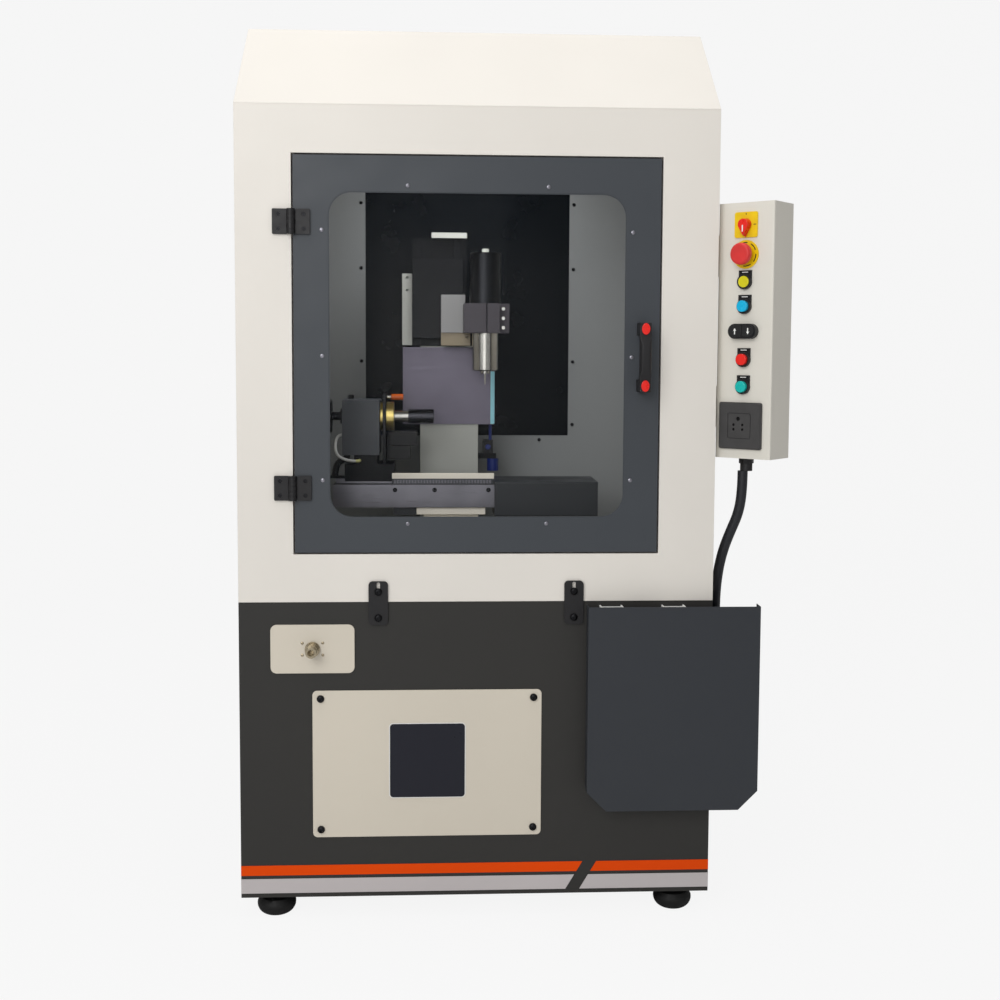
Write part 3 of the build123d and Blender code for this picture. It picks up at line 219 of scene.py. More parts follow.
@dataclass(frozen=True)
class Moulded:
    """Moulded plastic or rubber with a spark-eroded grain."""

    name: str
    colour: Colour
    rough: float = 0.5
    grain_mm: float = 0.8
    coat: float = 0.0

    def build(self) -> bpy.types.Material:
        """Make the material."""
        graph = Graph(self.name)
        graph.tone(graph.noise((40, 40, 40), 3), self.colour, 0.85)
        grain = 1000 / self.grain_mm
        graph.rough(graph.spread(graph.noise((90, 90, 90), 2), self.rough - 0.05, self.rough + 0.06))
        graph.relief(graph.noise((grain, grain, grain), 2), 0.12, 0.1)
        graph.surface.inputs["Specular IOR Level"].default_value = 0.35
        graph.surface.inputs["Coat Weight"].default_value = self.coat
        graph.surface.inputs["Coat Roughness"].default_value = 0.08
        return graph.material


@dataclass(frozen=True)
class Metal:
    """Bare metal with a brushed, ground or turned grain along one direction."""

    name: str
    colour: Colour
    grain: Side = Side.ACROSS
    rough: float = 0.3
    shade: float = 0.72
    relief: float = 0.09

    def build(self) -> bpy.types.Material:
        """Make the material."""
        graph = Graph(self.name)
        scale = tuple(8.0 if part else 1400.0 for part in self.grain.value)
        lines = graph.noise((scale[0], scale[1], scale[2]), 4)
        graph.tone(graph.noise((11, 11, 11), 2), self.colour, self.shade)
        graph.rough(graph.spread(lines, self.rough - 0.09, self.rough + 0.12))
        graph.relief(lines, self.relief, 0.05)
        graph.surface.inputs["Metallic"].default_value = 1.0
        return graph.material


@dataclass(frozen=True)
class Pane:
    """Clear window sheet with a faint dusty haze."""

    name: str
    colour: Colour
    alpha: float = 0.03

    def build(self) -> bpy.types.Material:
        """Make the material."""
        graph = Graph(self.name)
        haze = graph.noise((6, 6, 4), 4)
        graph.tone(haze, self.colour, 0.9)
        graph.rough(graph.spread(haze, 0.02, 0.05))
        graph.surface.inputs["Alpha"].default_value = self.alpha
        graph.surface.inputs["IOR"].default_value = 1.45
        return graph.material


@dataclass(frozen=True)
class CableSheath:
    """Rubber sheath with fine rings along a cable that mostly runs upright."""

    name: str
    colour: Colour

    def build(self) -> bpy.types.Material:
        """Make the material."""
        graph = Graph(self.name)
        rings = graph.noise((30, 30, 420), 2)
        graph.tone(rings, self.colour, 0.6)
        graph.rough(graph.spread(rings, 0.42, 0.58))
        graph.relief(rings, 0.35, 0.4)
        return graph.material


CREAM = PowderCoat("cream_powder_coat", tint(226, 221, 213))
BASE_GREY = PowderCoat("base_grey_powder_coat", tint(48, 47, 45), gloss=0.48, shine=0.25)
DOOR_GREY = PowderCoat("door_grey_powder_coat", tint(62, 66, 71), gloss=0.42)
SHELF_GREY = PowderCoat("shelf_textured_coat", tint(47, 50, 55), gloss=0.5, peel_mm=2.2, relief=0.2)
BRACKET_WHITE = PowderCoat("bracket_white_coat", tint(228, 228, 225))
WALL_GREY = PowderCoat("chamber_grey_coat", tint(130, 133, 134), gloss=0.45, shine=0.2)
BED_CREAM = PowderCoat("bed_cream_coat", tint(206, 203, 192), gloss=0.45)
# Darker copy of the hood's cream for the low access and connector plates: painted shade for light falling off
# downward.
SHADED_PLATE_CREAM = PowderCoat("access_cream_coat", tint(208, 200, 185))
WALL_DARK = PowderCoat("chamber_dark_coat", tint(6, 9, 13), gloss=0.3, drift=0.96, relief=0.0, shine=0.12)
MACHINE_GREY = PowderCoat("machine_grey_coat", tint(56, 58, 61), gloss=0.4)
MACHINE_BLACK = PowderCoat("machine_black_coat", tint(17, 18, 21), gloss=0.38, shine=0.2)
HEAD_GREY = PowderCoat("headstock_grey_coat", tint(76, 79, 84), gloss=0.42)
COLUMN_GREY = PowderCoat("column_light_coat", tint(182, 184, 178))
BLOCK_CREAM = PowderCoat("block_cream_coat", tint(150, 150, 150))
BLOCK_BEIGE = PowderCoat("block_beige_coat", tint(150, 138, 116))
RAIL_CREAM = PowderCoat("rail_cream_coat", tint(246, 240, 226))
CLAMP_GREY = PowderCoat("clamp_grey_coat", tint(68, 64, 70))
PENDANT_CREAM = PowderCoat("pendant_coat", tint(220, 216, 206))
NAVY_PLATE = PowderCoat("plate_navy_coat", tint(30, 31, 40), gloss=0.3, shine=0.2)
ORANGE_BAND = PowderCoat("orange_band", tint(226, 72, 0), gloss=0.45, shine=0.1)
SILVER_BAND = PowderCoat("silver_band", tint(190, 184, 184), gloss=0.35)
BLACK_PLASTIC = Moulded("black_plastic", tint(26, 25, 27), rough=0.46)
RUBBER = Moulded("foot_rubber", tint(7, 7, 7), rough=0.65)
SOCKET_GREY = Moulded("socket_grey_plastic", tint(64, 63, 63), rough=0.42)
HOLE_BLACK = Moulded("hole_black", tint(8, 8, 9), rough=0.8)
YELLOW_PLATE = Moulded("yellow_plate", tint(238, 200, 10), rough=0.35)
RED_GLOSS = Moulded("red_gloss", tint(232, 30, 18), rough=0.3, coat=0.3)
STOP_RED = Moulded("stop_red", tint(216, 52, 50), rough=0.42)
YELLOW_GLOSS = Moulded("yellow_gloss", tint(222, 212, 6), rough=0.25, coat=0.5)
BLUE_GLOSS = Moulded("blue_gloss", tint(0, 180, 226), rough=0.25, coat=0.35)
TEAL_GLOSS = Moulded("teal_gloss", tint(0, 186, 178), rough=0.25, coat=0.35)
WHITE_MARK = Moulded("white_mark", tint(236, 236, 232), rough=0.4)
BLACK_MARK = Moulded("black_mark", tint(22, 20, 12), rough=0.5)
ORANGE_GRIP = Moulded("orange_grip", tint(206, 92, 14), rough=0.4, coat=0.3)
NAVY_KNOB = Moulded("navy_knob", tint(22, 40, 110), rough=0.35, coat=0.3)
YELLOW_TIP = Moulded("yellow_tip", tint(206, 204, 140), rough=0.4)
WIRE_GREY = Moulded("wire_grey", tint(206, 208, 206), rough=0.4)
BLACK_OXIDE = Metal("black_oxide_steel", tint(44, 44, 46), rough=0.38)
STEEL = Metal("brushed_steel", tint(150, 149, 157), rough=0.36)
SPLASH_STEEL = Metal("splash_steel", tint(112, 108, 120), rough=0.42, shade=0.8, relief=0.04)
TURNED_STEEL = Metal("turned_steel", tint(208, 206, 200), grain=Side.UP, rough=0.2)
TURNED_BLACK = Metal("turned_black", tint(78, 78, 84), grain=Side.DEEP, rough=0.24)
BRASS = Metal("brass_ring", tint(250, 224, 140), grain=Side.DEEP, rough=0.3)
PLATED = Metal("plated_tube", tint(176, 164, 140), grain=Side.DEEP, rough=0.24)
ANODISED = Metal("black_anodised", tint(50, 51, 54), grain=Side.UP, rough=0.34)
# Pale blue-white painted reflection of a bright light along the splash plate's right edge.
CYAN_REFLECTION_STRIP = PowderCoat("pale_blue_film", tint(150, 214, 226), gloss=0.2, relief=0.02)
WINDOW = Pane("clear_window", tint(60, 66, 70))
SHEATH = CableSheath("cable_sheath", tint(15, 17, 26))

Finish = PowderCoat | Moulded | Metal | Pane | CableSheath


class Paints:
    """Materials built so far, one for each finish."""

    made: dict[str, bpy.types.Material] = {}

    @classmethod
    def get(cls, finish: Finish) -> bpy.types.Material:
        """Return a finish's material, building it once."""
        if finish.name not in cls.made:
            cls.made[finish.name] = finish.build()
        return cls.made[finish.name]


@dataclass(frozen=True)
class Region:
    """Box in cabinet millimetres whose faces take a finish of their own."""

    finish: Finish
    x: Span = (-2000, 2000)
    y: Span = (-2000, 2000)
    z: Span = (-10, 3000)

    def holds(self, point: Vector) -> bool:
        """Say whether a point of the model's frame lies in the box."""
        place = (point.x * 1000 - MID_X, point.y * 1000 - FRONT_Y, point.z * 1000)
        return all(low <= part <= high for part, (low, high) in zip(place, (self.x, self.y, self.z)))


Regions = tuple[Region, ...]


class Workshop:
    """Makes, dresses and places pieces."""

    def __init__(self, frame: dict) -> None:
        self.nodes = frame["nodes"]
        record = frame["record"]
        bodies = record["behaviour"]["bodies"]
        self.body = {node: body for body, names in bodies.items() for node in names}
        self.slot = {part["node"]: part["material_slot"] for part in record["subparts"]}

    def coat(self, node: str, finish: Finish) -> None:
        """Give a whole CAD node a finish and leave its shape."""
        shape = self.nodes[node]
        shape.data.materials.clear()
        shape.data.materials.append(Paints.get(finish))
        LOG.info("coated %s", node)

    def adopt(self, mesh: bpy.types.Mesh, name: str, node: str, replace: bool = False) -> None:
        """Put a mesh of the model's frame in the scene as a piece.

        Args:
            mesh: The mesh.
            name: Name of the piece.
            node: CAD node that it rides with.
            replace: Whether the piece stands for the node.
        """
        piece = placed(name, mesh)
        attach(piece, self.body[node])
        if replace:
            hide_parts(node)
        LOG.info("made %s", name)

    def finish_piece(self, node: str, finish: Finish, regions: Regions = (), bevel: float = 0.6) -> None:
        """Replace a node by a copy with eased edges and a finish for each region.

        Args:
            node: Name of the node.
            finish: Finish outside every region.
            regions: Boxes with finishes of their own.
            bevel: Width of the eased edges in millimetres.
        """
        shape = bmesh.new()
        shape.from_mesh(self.nodes[node].data)
        bmesh.ops.remove_doubles(shape, verts=shape.verts, dist=WELD)
        limits = {"angle_limit": math.radians(FLAT_ANGLE), "delimit": {"NORMAL"}}
        bmesh.ops.dissolve_limit(shape, verts=shape.verts, edges=shape.edges, **limits)
        mesh = bpy.data.meshes.new(f"{node}_finished")
        shape.to_mesh(mesh)
        shape.free()
        if bevel:
            mesh = eased(mesh, bevel)
        used = list(dict.fromkeys([finish, *(region.finish for region in regions)]))
        for entry in used:
            mesh.materials.append(Paints.get(entry))
        for face in mesh.polygons:
            for region in regions:
                if region.holds(face.center):
                    face.material_index = used.index(region.finish)
                    break
        self.adopt(flattened(shaded(mesh, PIECE_ANGLE)), f"{node}_finished", node, replace=True)

    def dress(self, rows: Sequence[tuple]) -> None:
        """Finish pieces by rows of node, finish, bevel and any regions."""
        for node, finish, bevel, *regions in rows:
            self.finish_piece(node, finish, tuple(regions), bevel)

    def mark(
        self, name: str, node: str, finish: Finish, outlines: Outlines, place: Matrix, depth: float
    ) -> None:
        """Add a thin flat mark, from closed outlines and a depth in millimetres, that rides with a node."""
        self.adopt(painted(plate(name, outlines, place, depth), finish), name, node)

    def fasten(self, screws: Screws, node: str, replace: bool = False) -> None:
        """Add a set of screws that rides with a node or stands for it."""
        self.adopt(screws.mesh(), screws.name, node, replace)


def worked(name: str, shape: bpy.types.ID, kind: str, **settings: object) -> bpy.types.Mesh:
    """Run one modifier, with its settings, over a mesh and return the result as a plain mesh."""
    holder = placed(name, shape)
    tool = holder.modifiers.new(name, kind)
    for key, value in settings.items():
        setattr(tool, key, value)
    return settled(holder)


def settled(holder: bpy.types.Object) -> bpy.types.Mesh:
    """Turn an object and its modifiers into a plain mesh and remove the object."""
    graph = bpy.context.evaluated_depsgraph_get()
    graph.update()
    mesh = bpy.data.meshes.new_from_object(holder.evaluated_get(graph), depsgraph=graph)
    bpy.data.objects.remove(holder)
    return mesh


def eased(mesh: bpy.types.Mesh, width: float) -> bpy.types.Mesh:
    """Bevel a mesh's sharp edges by a width in millimetres."""
    limit = {"limit_method": "ANGLE", "angle_limit": math.radians(EDGE_ANGLE), "use_clamp_overlap": True}
    return worked("easing", mesh, "BEVEL", width=width / 1000, segments=2, **limit)


def shaded(mesh: bpy.types.Mesh, angle: float) -> bpy.types.Mesh:
    """Smooth a mesh, keep edges sharper than an angle in degrees and return it."""
    mesh.polygons.foreach_set("use_smooth", [True] * len(mesh.polygons))
    mesh.set_sharp_from_angle(angle=math.radians(angle))
    return mesh


def flattened(mesh: bpy.types.Mesh) -> bpy.types.Mesh:
    """Weight a smoothed mesh's normals by face area, so that flat faces stay flat beside eased edges."""
    return worked("flattening", mesh, "WEIGHTED_NORMAL", mode="FACE_AREA", weight=100, keep_sharp=True)


def turned(name: str, profile: list[Span], place: Matrix, sides: int = 48) -> bpy.types.Mesh:
    """Turn a closed profile about an axis.

    Args:
        name: Name of the mesh.
        profile: Radius and height pairs in millimetres, from the axis at the bottom to the axis at the top.
        place: Matrix from the profile's axis, with Z along it, to the model's frame.
        sides: Number of sides.

    Returns:
        The turned mesh.
    """
    shape = bmesh.new()
    rings = []
    for radius, height in profile:
        if radius == 0:
            rings.append([shape.verts.new((0, 0, height / 1000))])
            continue
        ring = []
        for k in range(sides):
            angle = 2 * math.pi * k / sides
            place_k = (radius * math.cos(angle), radius * math.sin(angle), height)
            ring.append(shape.verts.new([part / 1000 for part in place_k]))
        rings.append(ring)
    for low, high in zip(rings, rings[1:]):
        for k in range(sides):
            following = (k + 1) % sides
            if len(low) == 1:
                shape.faces.new((low[0], high[following], high[k]))
            elif len(high) == 1:
                shape.faces.new((low[k], low[following], high[0]))
            else:
                shape.faces.new((low[k], low[following], high[following], high[k]))
    bmesh.ops.recalc_face_normals(shape, faces=shape.faces)
    bmesh.ops.transform(shape, matrix=place, verts=shape.verts)
    mesh = bpy.data.meshes.new(name)
    shape.to_mesh(mesh)
    shape.free()
    return shaded(mesh, TURNED_ANGLE)


def plate(name: str, outlines: Outlines, place: Matrix, depth: float) -> bpy.types.Mesh:
    """Raise flat outlines into thin solids.

    Args:
        name: Name of the mesh.
        outlines: Closed outlines in millimetres, each counter-clockwise.
        place: Matrix from the outlines' plane to the model's frame.
        depth: Height of the solids along the plane's normal, in millimetres.

    Returns:
        The mesh.
    """
    shape = bmesh.new()
    for outline in outlines:
        low = [shape.verts.new((u / 1000, v / 1000, 0)) for u, v in outline]
        high = [shape.verts.new((u / 1000, v / 1000, depth / 1000)) for u, v in outline]
        shape.faces.new(high)
        shape.faces.new(low[::-1])
        for k, start in enumerate(low):
            following = (k + 1) % len(low)
            shape.faces.new((start, low[following], high[following], high[k]))
    bmesh.ops.transform(shape, matrix=place, verts=shape.verts)
    mesh = bpy.data.meshes.new(name)
    shape.to_mesh(mesh)
    shape.free()
    return mesh


def rounded(width: float, height: float, radius: float, centre: Span = (0, 0), steps: int = 6) -> list[Span]:
    """Outline of a rectangle with round corners, counter-clockwise.

    Args:
        width: Width in millimetres.
        height: Height in millimetres.
        radius: Corner radius in millimetres.
        centre: Middle of the rectangle.
        steps: Segments in each corner.

    Returns:
        The outline's points.
    """
    points = []
    for k, (sx, sy) in enumerate(((1, 1), (-1, 1), (-1, -1), (1, -1))):
        mid = (centre[0] + sx * (width / 2 - radius), centre[1] + sy * (height / 2 - radius))
        for step in range(steps + 1):
            angle = math.pi / 2 * (k + step / steps)
            points.append((mid[0] + radius * math.cos(angle), mid[1] + radius * math.sin(angle)))
    return points


def arc(radius: float, degrees: range, centre: Span = (0, 0)) -> list[Span]:
    """Points of a circle at a range of angles."""
    turns = [math.radians(angle) for angle in degrees]
    return [(centre[0] + radius * math.cos(turn), centre[1] + radius * math.sin(turn)) for turn in turns]


def band(outer: list[Span], inner: list[Span], closed: bool = True) -> Outlines:
    """Quads between two counter-clockwise lines of equally many points."""
    count = len(outer)
    steps = range(count if closed else count - 1)
    return [[outer[k], outer[(k + 1) % count], inner[(k + 1) % count], inner[k]] for k in steps]


def front_plane(x: float, y: float, z: float) -> Matrix:
    """Plane that faces the operator: first direction right, second up, normal towards the operator."""
    turn = Matrix(((1, 0, 0), (0, 0, -1), (0, 1, 0))).to_4x4()
    return Matrix.Translation(at(x, y, z)) @ turn


def pendant_plane(s: float, z: float, out: float = 0.0) -> Matrix:
    """Plane of the pendant's front.

    Args:
        s: Millimetres from the pendant's left edge.
        z: Millimetres above the floor.
        out: Millimetres in front of the face.
    """
    right = Vector((math.cos(PENDANT_TURN), -math.sin(PENDANT_TURN), 0))
    normal = Vector((-math.sin(PENDANT_TURN), -math.cos(PENDANT_TURN), 0))
    place = at(PENDANT_X, PENDANT_Y, z) + right * s / 1000 + normal * out / 1000
    turn = Matrix((right, Vector((0, 0, 1)), normal)).transposed().to_4x4()
    return Matrix.Translation(place) @ turn


class ScrewKind(Enum):
    """Profile of a screw head from its base to its recess: radius and height as shares of its diameter."""

    BUTTON = ((0, 0), (0.5, 0), (0.5, 0.12), (0.44, 0.26), (0.30, 0.36), (0.22, 0.38), (0.21, 0.16), (0, 0.14))
    PAN = ((0, 0), (0.5, 0), (0.48, 0.10), (0.36, 0.18), (0.16, 0.20), (0.14, 0.08), (0, 0.06))
    COUNTERSUNK = ((0, -0.3), (0.25, -0.3), (0.5, -0.02), (0.48, 0.02), (0.2, 0.03), (0.18, -0.12), (0, -0.16))


@dataclass
class Screws:
    """Set of like screws, placed by a node tree on a cloud of points."""

    name: str
    kind: ScrewKind
    places: list[Vector]
    diameter: float
    finish: Finish
    turn: Euler = field(default_factory=lambda: Euler((math.pi / 2, 0, 0)))

    def head(self) -> bpy.types.Object:
        """Model one head of unit diameter with its recess, looking along +Z."""
        profile = [(r * 1000, h * 1000) for r, h in self.kind.value]
        mesh = turned(f"{self.name}_head", profile, Matrix.Identity(4), sides=18)
        return bpy.data.objects.new(f"{self.name}_head", mesh)

    def tree(self) -> bpy.types.NodeTree:
        """Build the node tree that sets a head on each point."""
        takes = {"Points": "Geometry", "Head": "Object", "Diameter": "Float", "Turn": "Rotation"}
        tree, entry, copies = copy_tree("screws_on_points", takes)
        source = tree.nodes.new("GeometryNodeObjectInfo")
        spin = tree.nodes.new("FunctionNodeRandomValue")
        spin.data_type = "FLOAT_VECTOR"
        for socket, value in (("Min", (0, 0, 0)), ("Max", (0, 0, 6.28)), ("Seed", 7)):
            spin.inputs[socket].default_value = value
        twist = tree.nodes.new("FunctionNodeRotateRotation")
        twist.rotation_space = "LOCAL"
        rows = (
            (entry, "Points", copies, "Points"),
            (entry, "Head", source, "Object"),
            (source, "Geometry", copies, "Instance"),
            (entry, "Turn", twist, "Rotation"),
            (spin, "Value", twist, "Rotate By"),
            (twist, "Rotation", copies, "Rotation"),
            (entry, "Diameter", copies, "Scale"),
        )
        join(tree.links, rows)
        return tree

    def mesh(self) -> bpy.types.Mesh:
        """Run the tree and return the screws as one plain mesh."""
        cloud = bpy.data.meshes.new(f"{self.name}_points")
        cloud.from_pydata([tuple(place) for place in self.places], [], [])
        head = self.head()
        finish = Paints.get(self.finish)
        values = {"Head": head, "Diameter": self.diameter / 1000, "Turn": self.turn, "Finish": finish}
        result = run_tree(self.tree(), cloud, values)
        bpy.data.objects.remove(head)
        return shaded(result, TURNED_ANGLE)


def join(links: bpy.types.NodeLinks, rows: Sequence[tuple]) -> None:
    """Link nodes by rows of source node, output, target node and input."""
    for source, gives, target, takes in rows:
        links.new(source.outputs[gives], target.inputs[takes])


def copy_tree(name: str, takes: dict[str, str]) -> tuple[bpy.types.NodeTree, bpy.types.Node, bpy.types.Node]:
    """Start a geometry node tree that sets copies on points, makes them real and paints them.

    Args:
        name: Name of the tree.
        takes: Its inputs and their kinds; a finish is added as the last.

    Returns:
        The tree, its input node and the node that sets the copies.
    """
    tree = bpy.data.node_groups.new(name, "GeometryNodeTree")
    for label, kind in (takes | {"Finish": "Material"}).items():
        tree.interface.new_socket(label, in_out="INPUT", socket_type=f"NodeSocket{kind}")
    tree.interface.new_socket("Result", in_out="OUTPUT", socket_type="NodeSocketGeometry")
    entry = tree.nodes.new("NodeGroupInput")
    copies = tree.nodes.new("GeometryNodeInstanceOnPoints")
    solid = tree.nodes.new("GeometryNodeRealizeInstances")
    paint = tree.nodes.new("GeometryNodeSetMaterial")
    leave = tree.nodes.new("NodeGroupOutput")
    rows = (
        (copies, "Instances", solid, "Geometry"),
        (solid, "Geometry", paint, "Geometry"),
        (entry, "Finish", paint, "Material"),
        (paint, "Geometry", leave, "Result"),
    )
    join(tree.links, rows)
    return tree, entry, copies


def run_tree(tree: bpy.types.NodeTree, base: bpy.types.Mesh, values: dict[str, object]) -> bpy.types.Mesh:
    """Run a node tree on a mesh with named input values and return the plain mesh that it gives."""
    holder = placed(base.name, base)
    tool = holder.modifiers.new(tree.name, "NODES")
    tool.node_group = tree
    for item in tree.interface.items_tree:
        if item.in_out == "INPUT" and item.name in values:
            tool[item.identifier] = values[item.name]
    return settled(holder)


@dataclass
class RibRow:
    """Row of equal upright ribs along X, made by a node tree."""

    name: str
    start: Vector
    length: float
    pitch: float
    size: Point
    finish: Finish

    def mesh(self) -> bpy.types.Mesh:
        """Build the tree, run it and return the ribs as one plain mesh."""
        takes = {"Base": "Geometry", "Count": "Int", "Pitch": "Vector", "Rib": "Vector", "Start": "Vector"}
        tree, entry, copies = copy_tree("rib_row", takes)
        line = tree.nodes.new("GeometryNodeMeshLine")
        line.mode = "OFFSET"
        bar = tree.nodes.new("GeometryNodeMeshCube")
        rows = (
            (entry, "Count", line, "Count"),
            (entry, "Start", line, "Start Location"),
            (entry, "Pitch", line, "Offset"),
            (entry, "Rib", bar, "Size"),
            (line, "Mesh", copies, "Points"),
            (bar, "Mesh", copies, "Instance"),
        )
        join(tree.links, rows)
        values = {
            "Count": int(self.length / self.pitch),
            "Pitch": (self.pitch / 1000, 0, 0),
            "Rib": tuple(part / 1000 for part in self.size),
            "Start": tuple(self.start),
            "Finish": Paints.get(self.finish),
        }
        return run_tree(tree, bpy.data.meshes.new(self.name), values)


def pipe(name: str, places: Sequence[Point], diameter: float, finish: Finish) -> bpy.types.Mesh:
    """Lay a smooth capped lead along points in cabinet millimetres, as a plain mesh."""
    holder = lay_lead(name, places, diameter, sides=5, steps=12)
    mesh = settled(holder)
    mesh.materials.clear()
    return painted(mesh, finish)


def lay_lead(name: str, places: Sequence[Point], diameter: float, sides: int, steps: int) -> bpy.types.Object:
    """Put a smooth round curve along cabinet millimetres in the scene, with its resolution around and along."""
    curve = bpy.data.curves.new(name, "CURVE")
    curve.dimensions = "3D"
    curve.bevel_depth = diameter / 2000
    curve.bevel_resolution = sides
    curve.resolution_u = steps
    curve.use_fill_caps = True
    spline = curve.splines.new("NURBS")
    spline.points.add(len(places) - 1)
    for knot, place in zip(spline.points, places):
        knot.co = (*at(*place), 1.0)
    spline.order_u = 3
    spline.use_endpoint_u = True
    holder = placed(name, curve)
    return holder


def painted(mesh: bpy.types.Mesh, finish: Finish) -> bpy.types.Mesh:
    """Give a mesh one finish and return it."""
    mesh.materials.append(Paints.get(finish))
    return mesh


def around(middle: Span, reach: Span, y: float) -> list[Vector]:
    """Four corners of a rectangle that faces the operator, from its middle and half sizes in x and z."""
    return [at(middle[0] + sx * reach[0], y, middle[1] + sz * reach[1]) for sx in (-1, 1) for sz in (-1, 1)]


@dataclass
class Cabinet:
    """Base, hood, clips, plates, bands, feet and the chamber's walls."""

    shop: Workshop
    clip_x: Span = (-194.0, 189.0)
    clip_screw_z: Span = (653.5, 602.0)
    access_mid: Span = (-98.0, 311.0)
    access_screw: Span = (209.0, 131.0)
    connector_mid: Span = (-322.0, 541.0)
    plate_side: float = 147.0
    plate_mid_z: float = 317.0
    wall_y: float = 545.0

    def build(self) -> None:
        """Dress the cabinet."""
        for node in ("base_side_panels", "base_back_panel", "base_plates"):
            self.shop.coat(node, BASE_GREY)
        for node in ("hood_side_panels", "hood_back_panel"):
            self.shop.coat(node, CREAM)
        rows = (
            ("hood_front_panel", CREAM, 0.7),
            ("hood_roof_panel", CREAM, 0.7),
            # The low plates take the darker cream, painted shade for light falling off towards the floor.
            ("access_plate", SHADED_PLATE_CREAM, 1.1),
            ("connector_plate", SHADED_PLATE_CREAM, 1.1),
            ("base_front_panel", BASE_GREY, 0.7),
            ("leveling_feet", RUBBER, 0, Region(STEEL, z=(32, 43))),
            ("retaining_clips", BLACK_PLASTIC, 1.0),
            ("name_plate", NAVY_PLATE, 0.5),
            ("stripe_bands", ORANGE_BAND, 0, Region(SILVER_BAND, z=(50, 83))),
            ("hose_connector", PLATED, 0.6),
        )
        self.shop.dress(rows)
        self.shop.coat("chamber_back_wall", WALL_GREY)
        self.shop.coat("chamber_dark_panel", WALL_DARK)
        self.screws()
        self.plate_rim()

    def screws(self) -> None:
        """Set the black button heads on clips, access plate and chamber wall."""
        low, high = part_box("panel_screws")
        LOG.info("screw heads between %s and %s", low, high)
        clips = [at(x, -5, z) for x in self.clip_x for z in self.clip_screw_z]
        access = around(self.access_mid, self.access_screw, -3)
        wall = [at(x, self.wall_y, z) for x in (-256, 240) for z in (1464, 1314, 1098)]
        wall += [at(240, self.wall_y, 950), at(162, self.wall_y, 914)]
        rows = Screws("button_head_screws", ScrewKind.BUTTON, clips + access, 15.0, BLACK_OXIDE)
        self.shop.fasten(rows, "panel_screws", replace=True)
        heads = Screws("wall_screw_heads", ScrewKind.BUTTON, wall, 8.0, BLACK_OXIDE)
        self.shop.fasten(heads, "panel_screws")
        corners = around(self.connector_mid, (20, 12), -3)
        small = Screws("connector_plate_screws", ScrewKind.PAN, corners, 6.0, PLATED)
        self.shop.fasten(small, "connector_plate")

    def plate_rim(self) -> None:
        """Lay a thin pale rim just outside the dark plate's edge."""
        gap, width = 0.4, 3.2
        outer, inner = self.plate_side + gap + width, self.plate_side + gap
        rim = band(rounded(outer, outer, 7.5), rounded(inner, inner, 6))
        place = front_plane(self.access_mid[0], -3.0, self.plate_mid_z)
        self.shop.mark("plate_frame_line", "access_plate", BRACKET_WHITE, rim, place, 0.5)


@dataclass
class Door:
    """Framed door with its window, screws, hinges and handle."""

    shop: Workshop
    middle: Span = (-1.5, 1111.5)
    screw_side: Span = (299.0, 240.0)
    screw_top: Span = (135.0, 325.0)
    hinge_x: float = -358.0
    hinge_z: Span = (856.5, 1366.5)
    leaf_hole: float = 24.3
    opening: Span = (573.0, 626.0)
    corner: float = 45.0
    strip: float = 1.8

    def build(self) -> None:
        """Dress the door."""
        shop = self.shop
        shop.finish_piece("door_frame", DOOR_GREY, bevel=0.8)
        shop.coat("door_window", WINDOW)
        x, z = self.middle
        side_x, side_z = self.screw_side
        top_x, top_z = self.screw_top
        places = [at(x + sx * side_x, 0, z + dz) for sx in (-1, 1) for dz in (-side_z, 0, side_z)]
        places += [at(x + dx, 0, z + sz * top_z) for sz in (-1, 1) for dx in (-top_x, top_x)]
        heads = Screws("window_screw_heads", ScrewKind.PAN, places, 8.0, STEEL)
        shop.fasten(heads, "window_screws", replace=True)
        caps = tuple(Region(RED_GLOSS, y=(-60, -44.04), z=(low, low + 22)) for low in (1046, 1155))
        shop.finish_piece("door_handle", BLACK_PLASTIC, caps, bevel=1.2)
        for node in ("hinge_fixed_leaves", "hinge_door_leaves"):
            shop.finish_piece(node, BLACK_PLASTIC, bevel=0.4)
        for node, side in (("hinge_fixed_leaves", -1), ("hinge_door_leaves", 1)):
            hole_x = self.hinge_x + side * self.leaf_hole
            holes = [at(hole_x, -4.2, mid + dz) for mid in self.hinge_z for dz in (-14, 14)]
            shop.fasten(Screws(f"{node}_screws", ScrewKind.COUNTERSUNK, holes, 7.6, BLACK_OXIDE), node)
        self.gasket()

    def gasket(self) -> None:
        """Line the window's opening with a thin edge strip in the door's own grey."""
        (width, height), corner, strip = self.opening, self.corner, self.strip
        outer = rounded(width, height, corner, steps=12)
        inner = rounded(width - 2 * strip, height - 2 * strip, corner - strip, steps=12)
        place = front_plane(self.middle[0], 1.95, self.middle[1])
        self.shop.mark("window_edge_rubber", "door_frame", DOOR_GREY, band(outer, inner), place, 1.6)


@dataclass
class Shelf:
    """Fold-down shelf and its white bracket hinges."""

    shop: Workshop

    def build(self) -> None:
        """Dress the shelf."""
        rows = (
            ("fold_down_shelf", SHELF_GREY, 0.7),
            ("shelf_bracket_legs", BRACKET_WHITE, 0.4),
            ("shelf_bracket_arms", BRACKET_WHITE, 0.4),
        )
        self.shop.dress(rows)


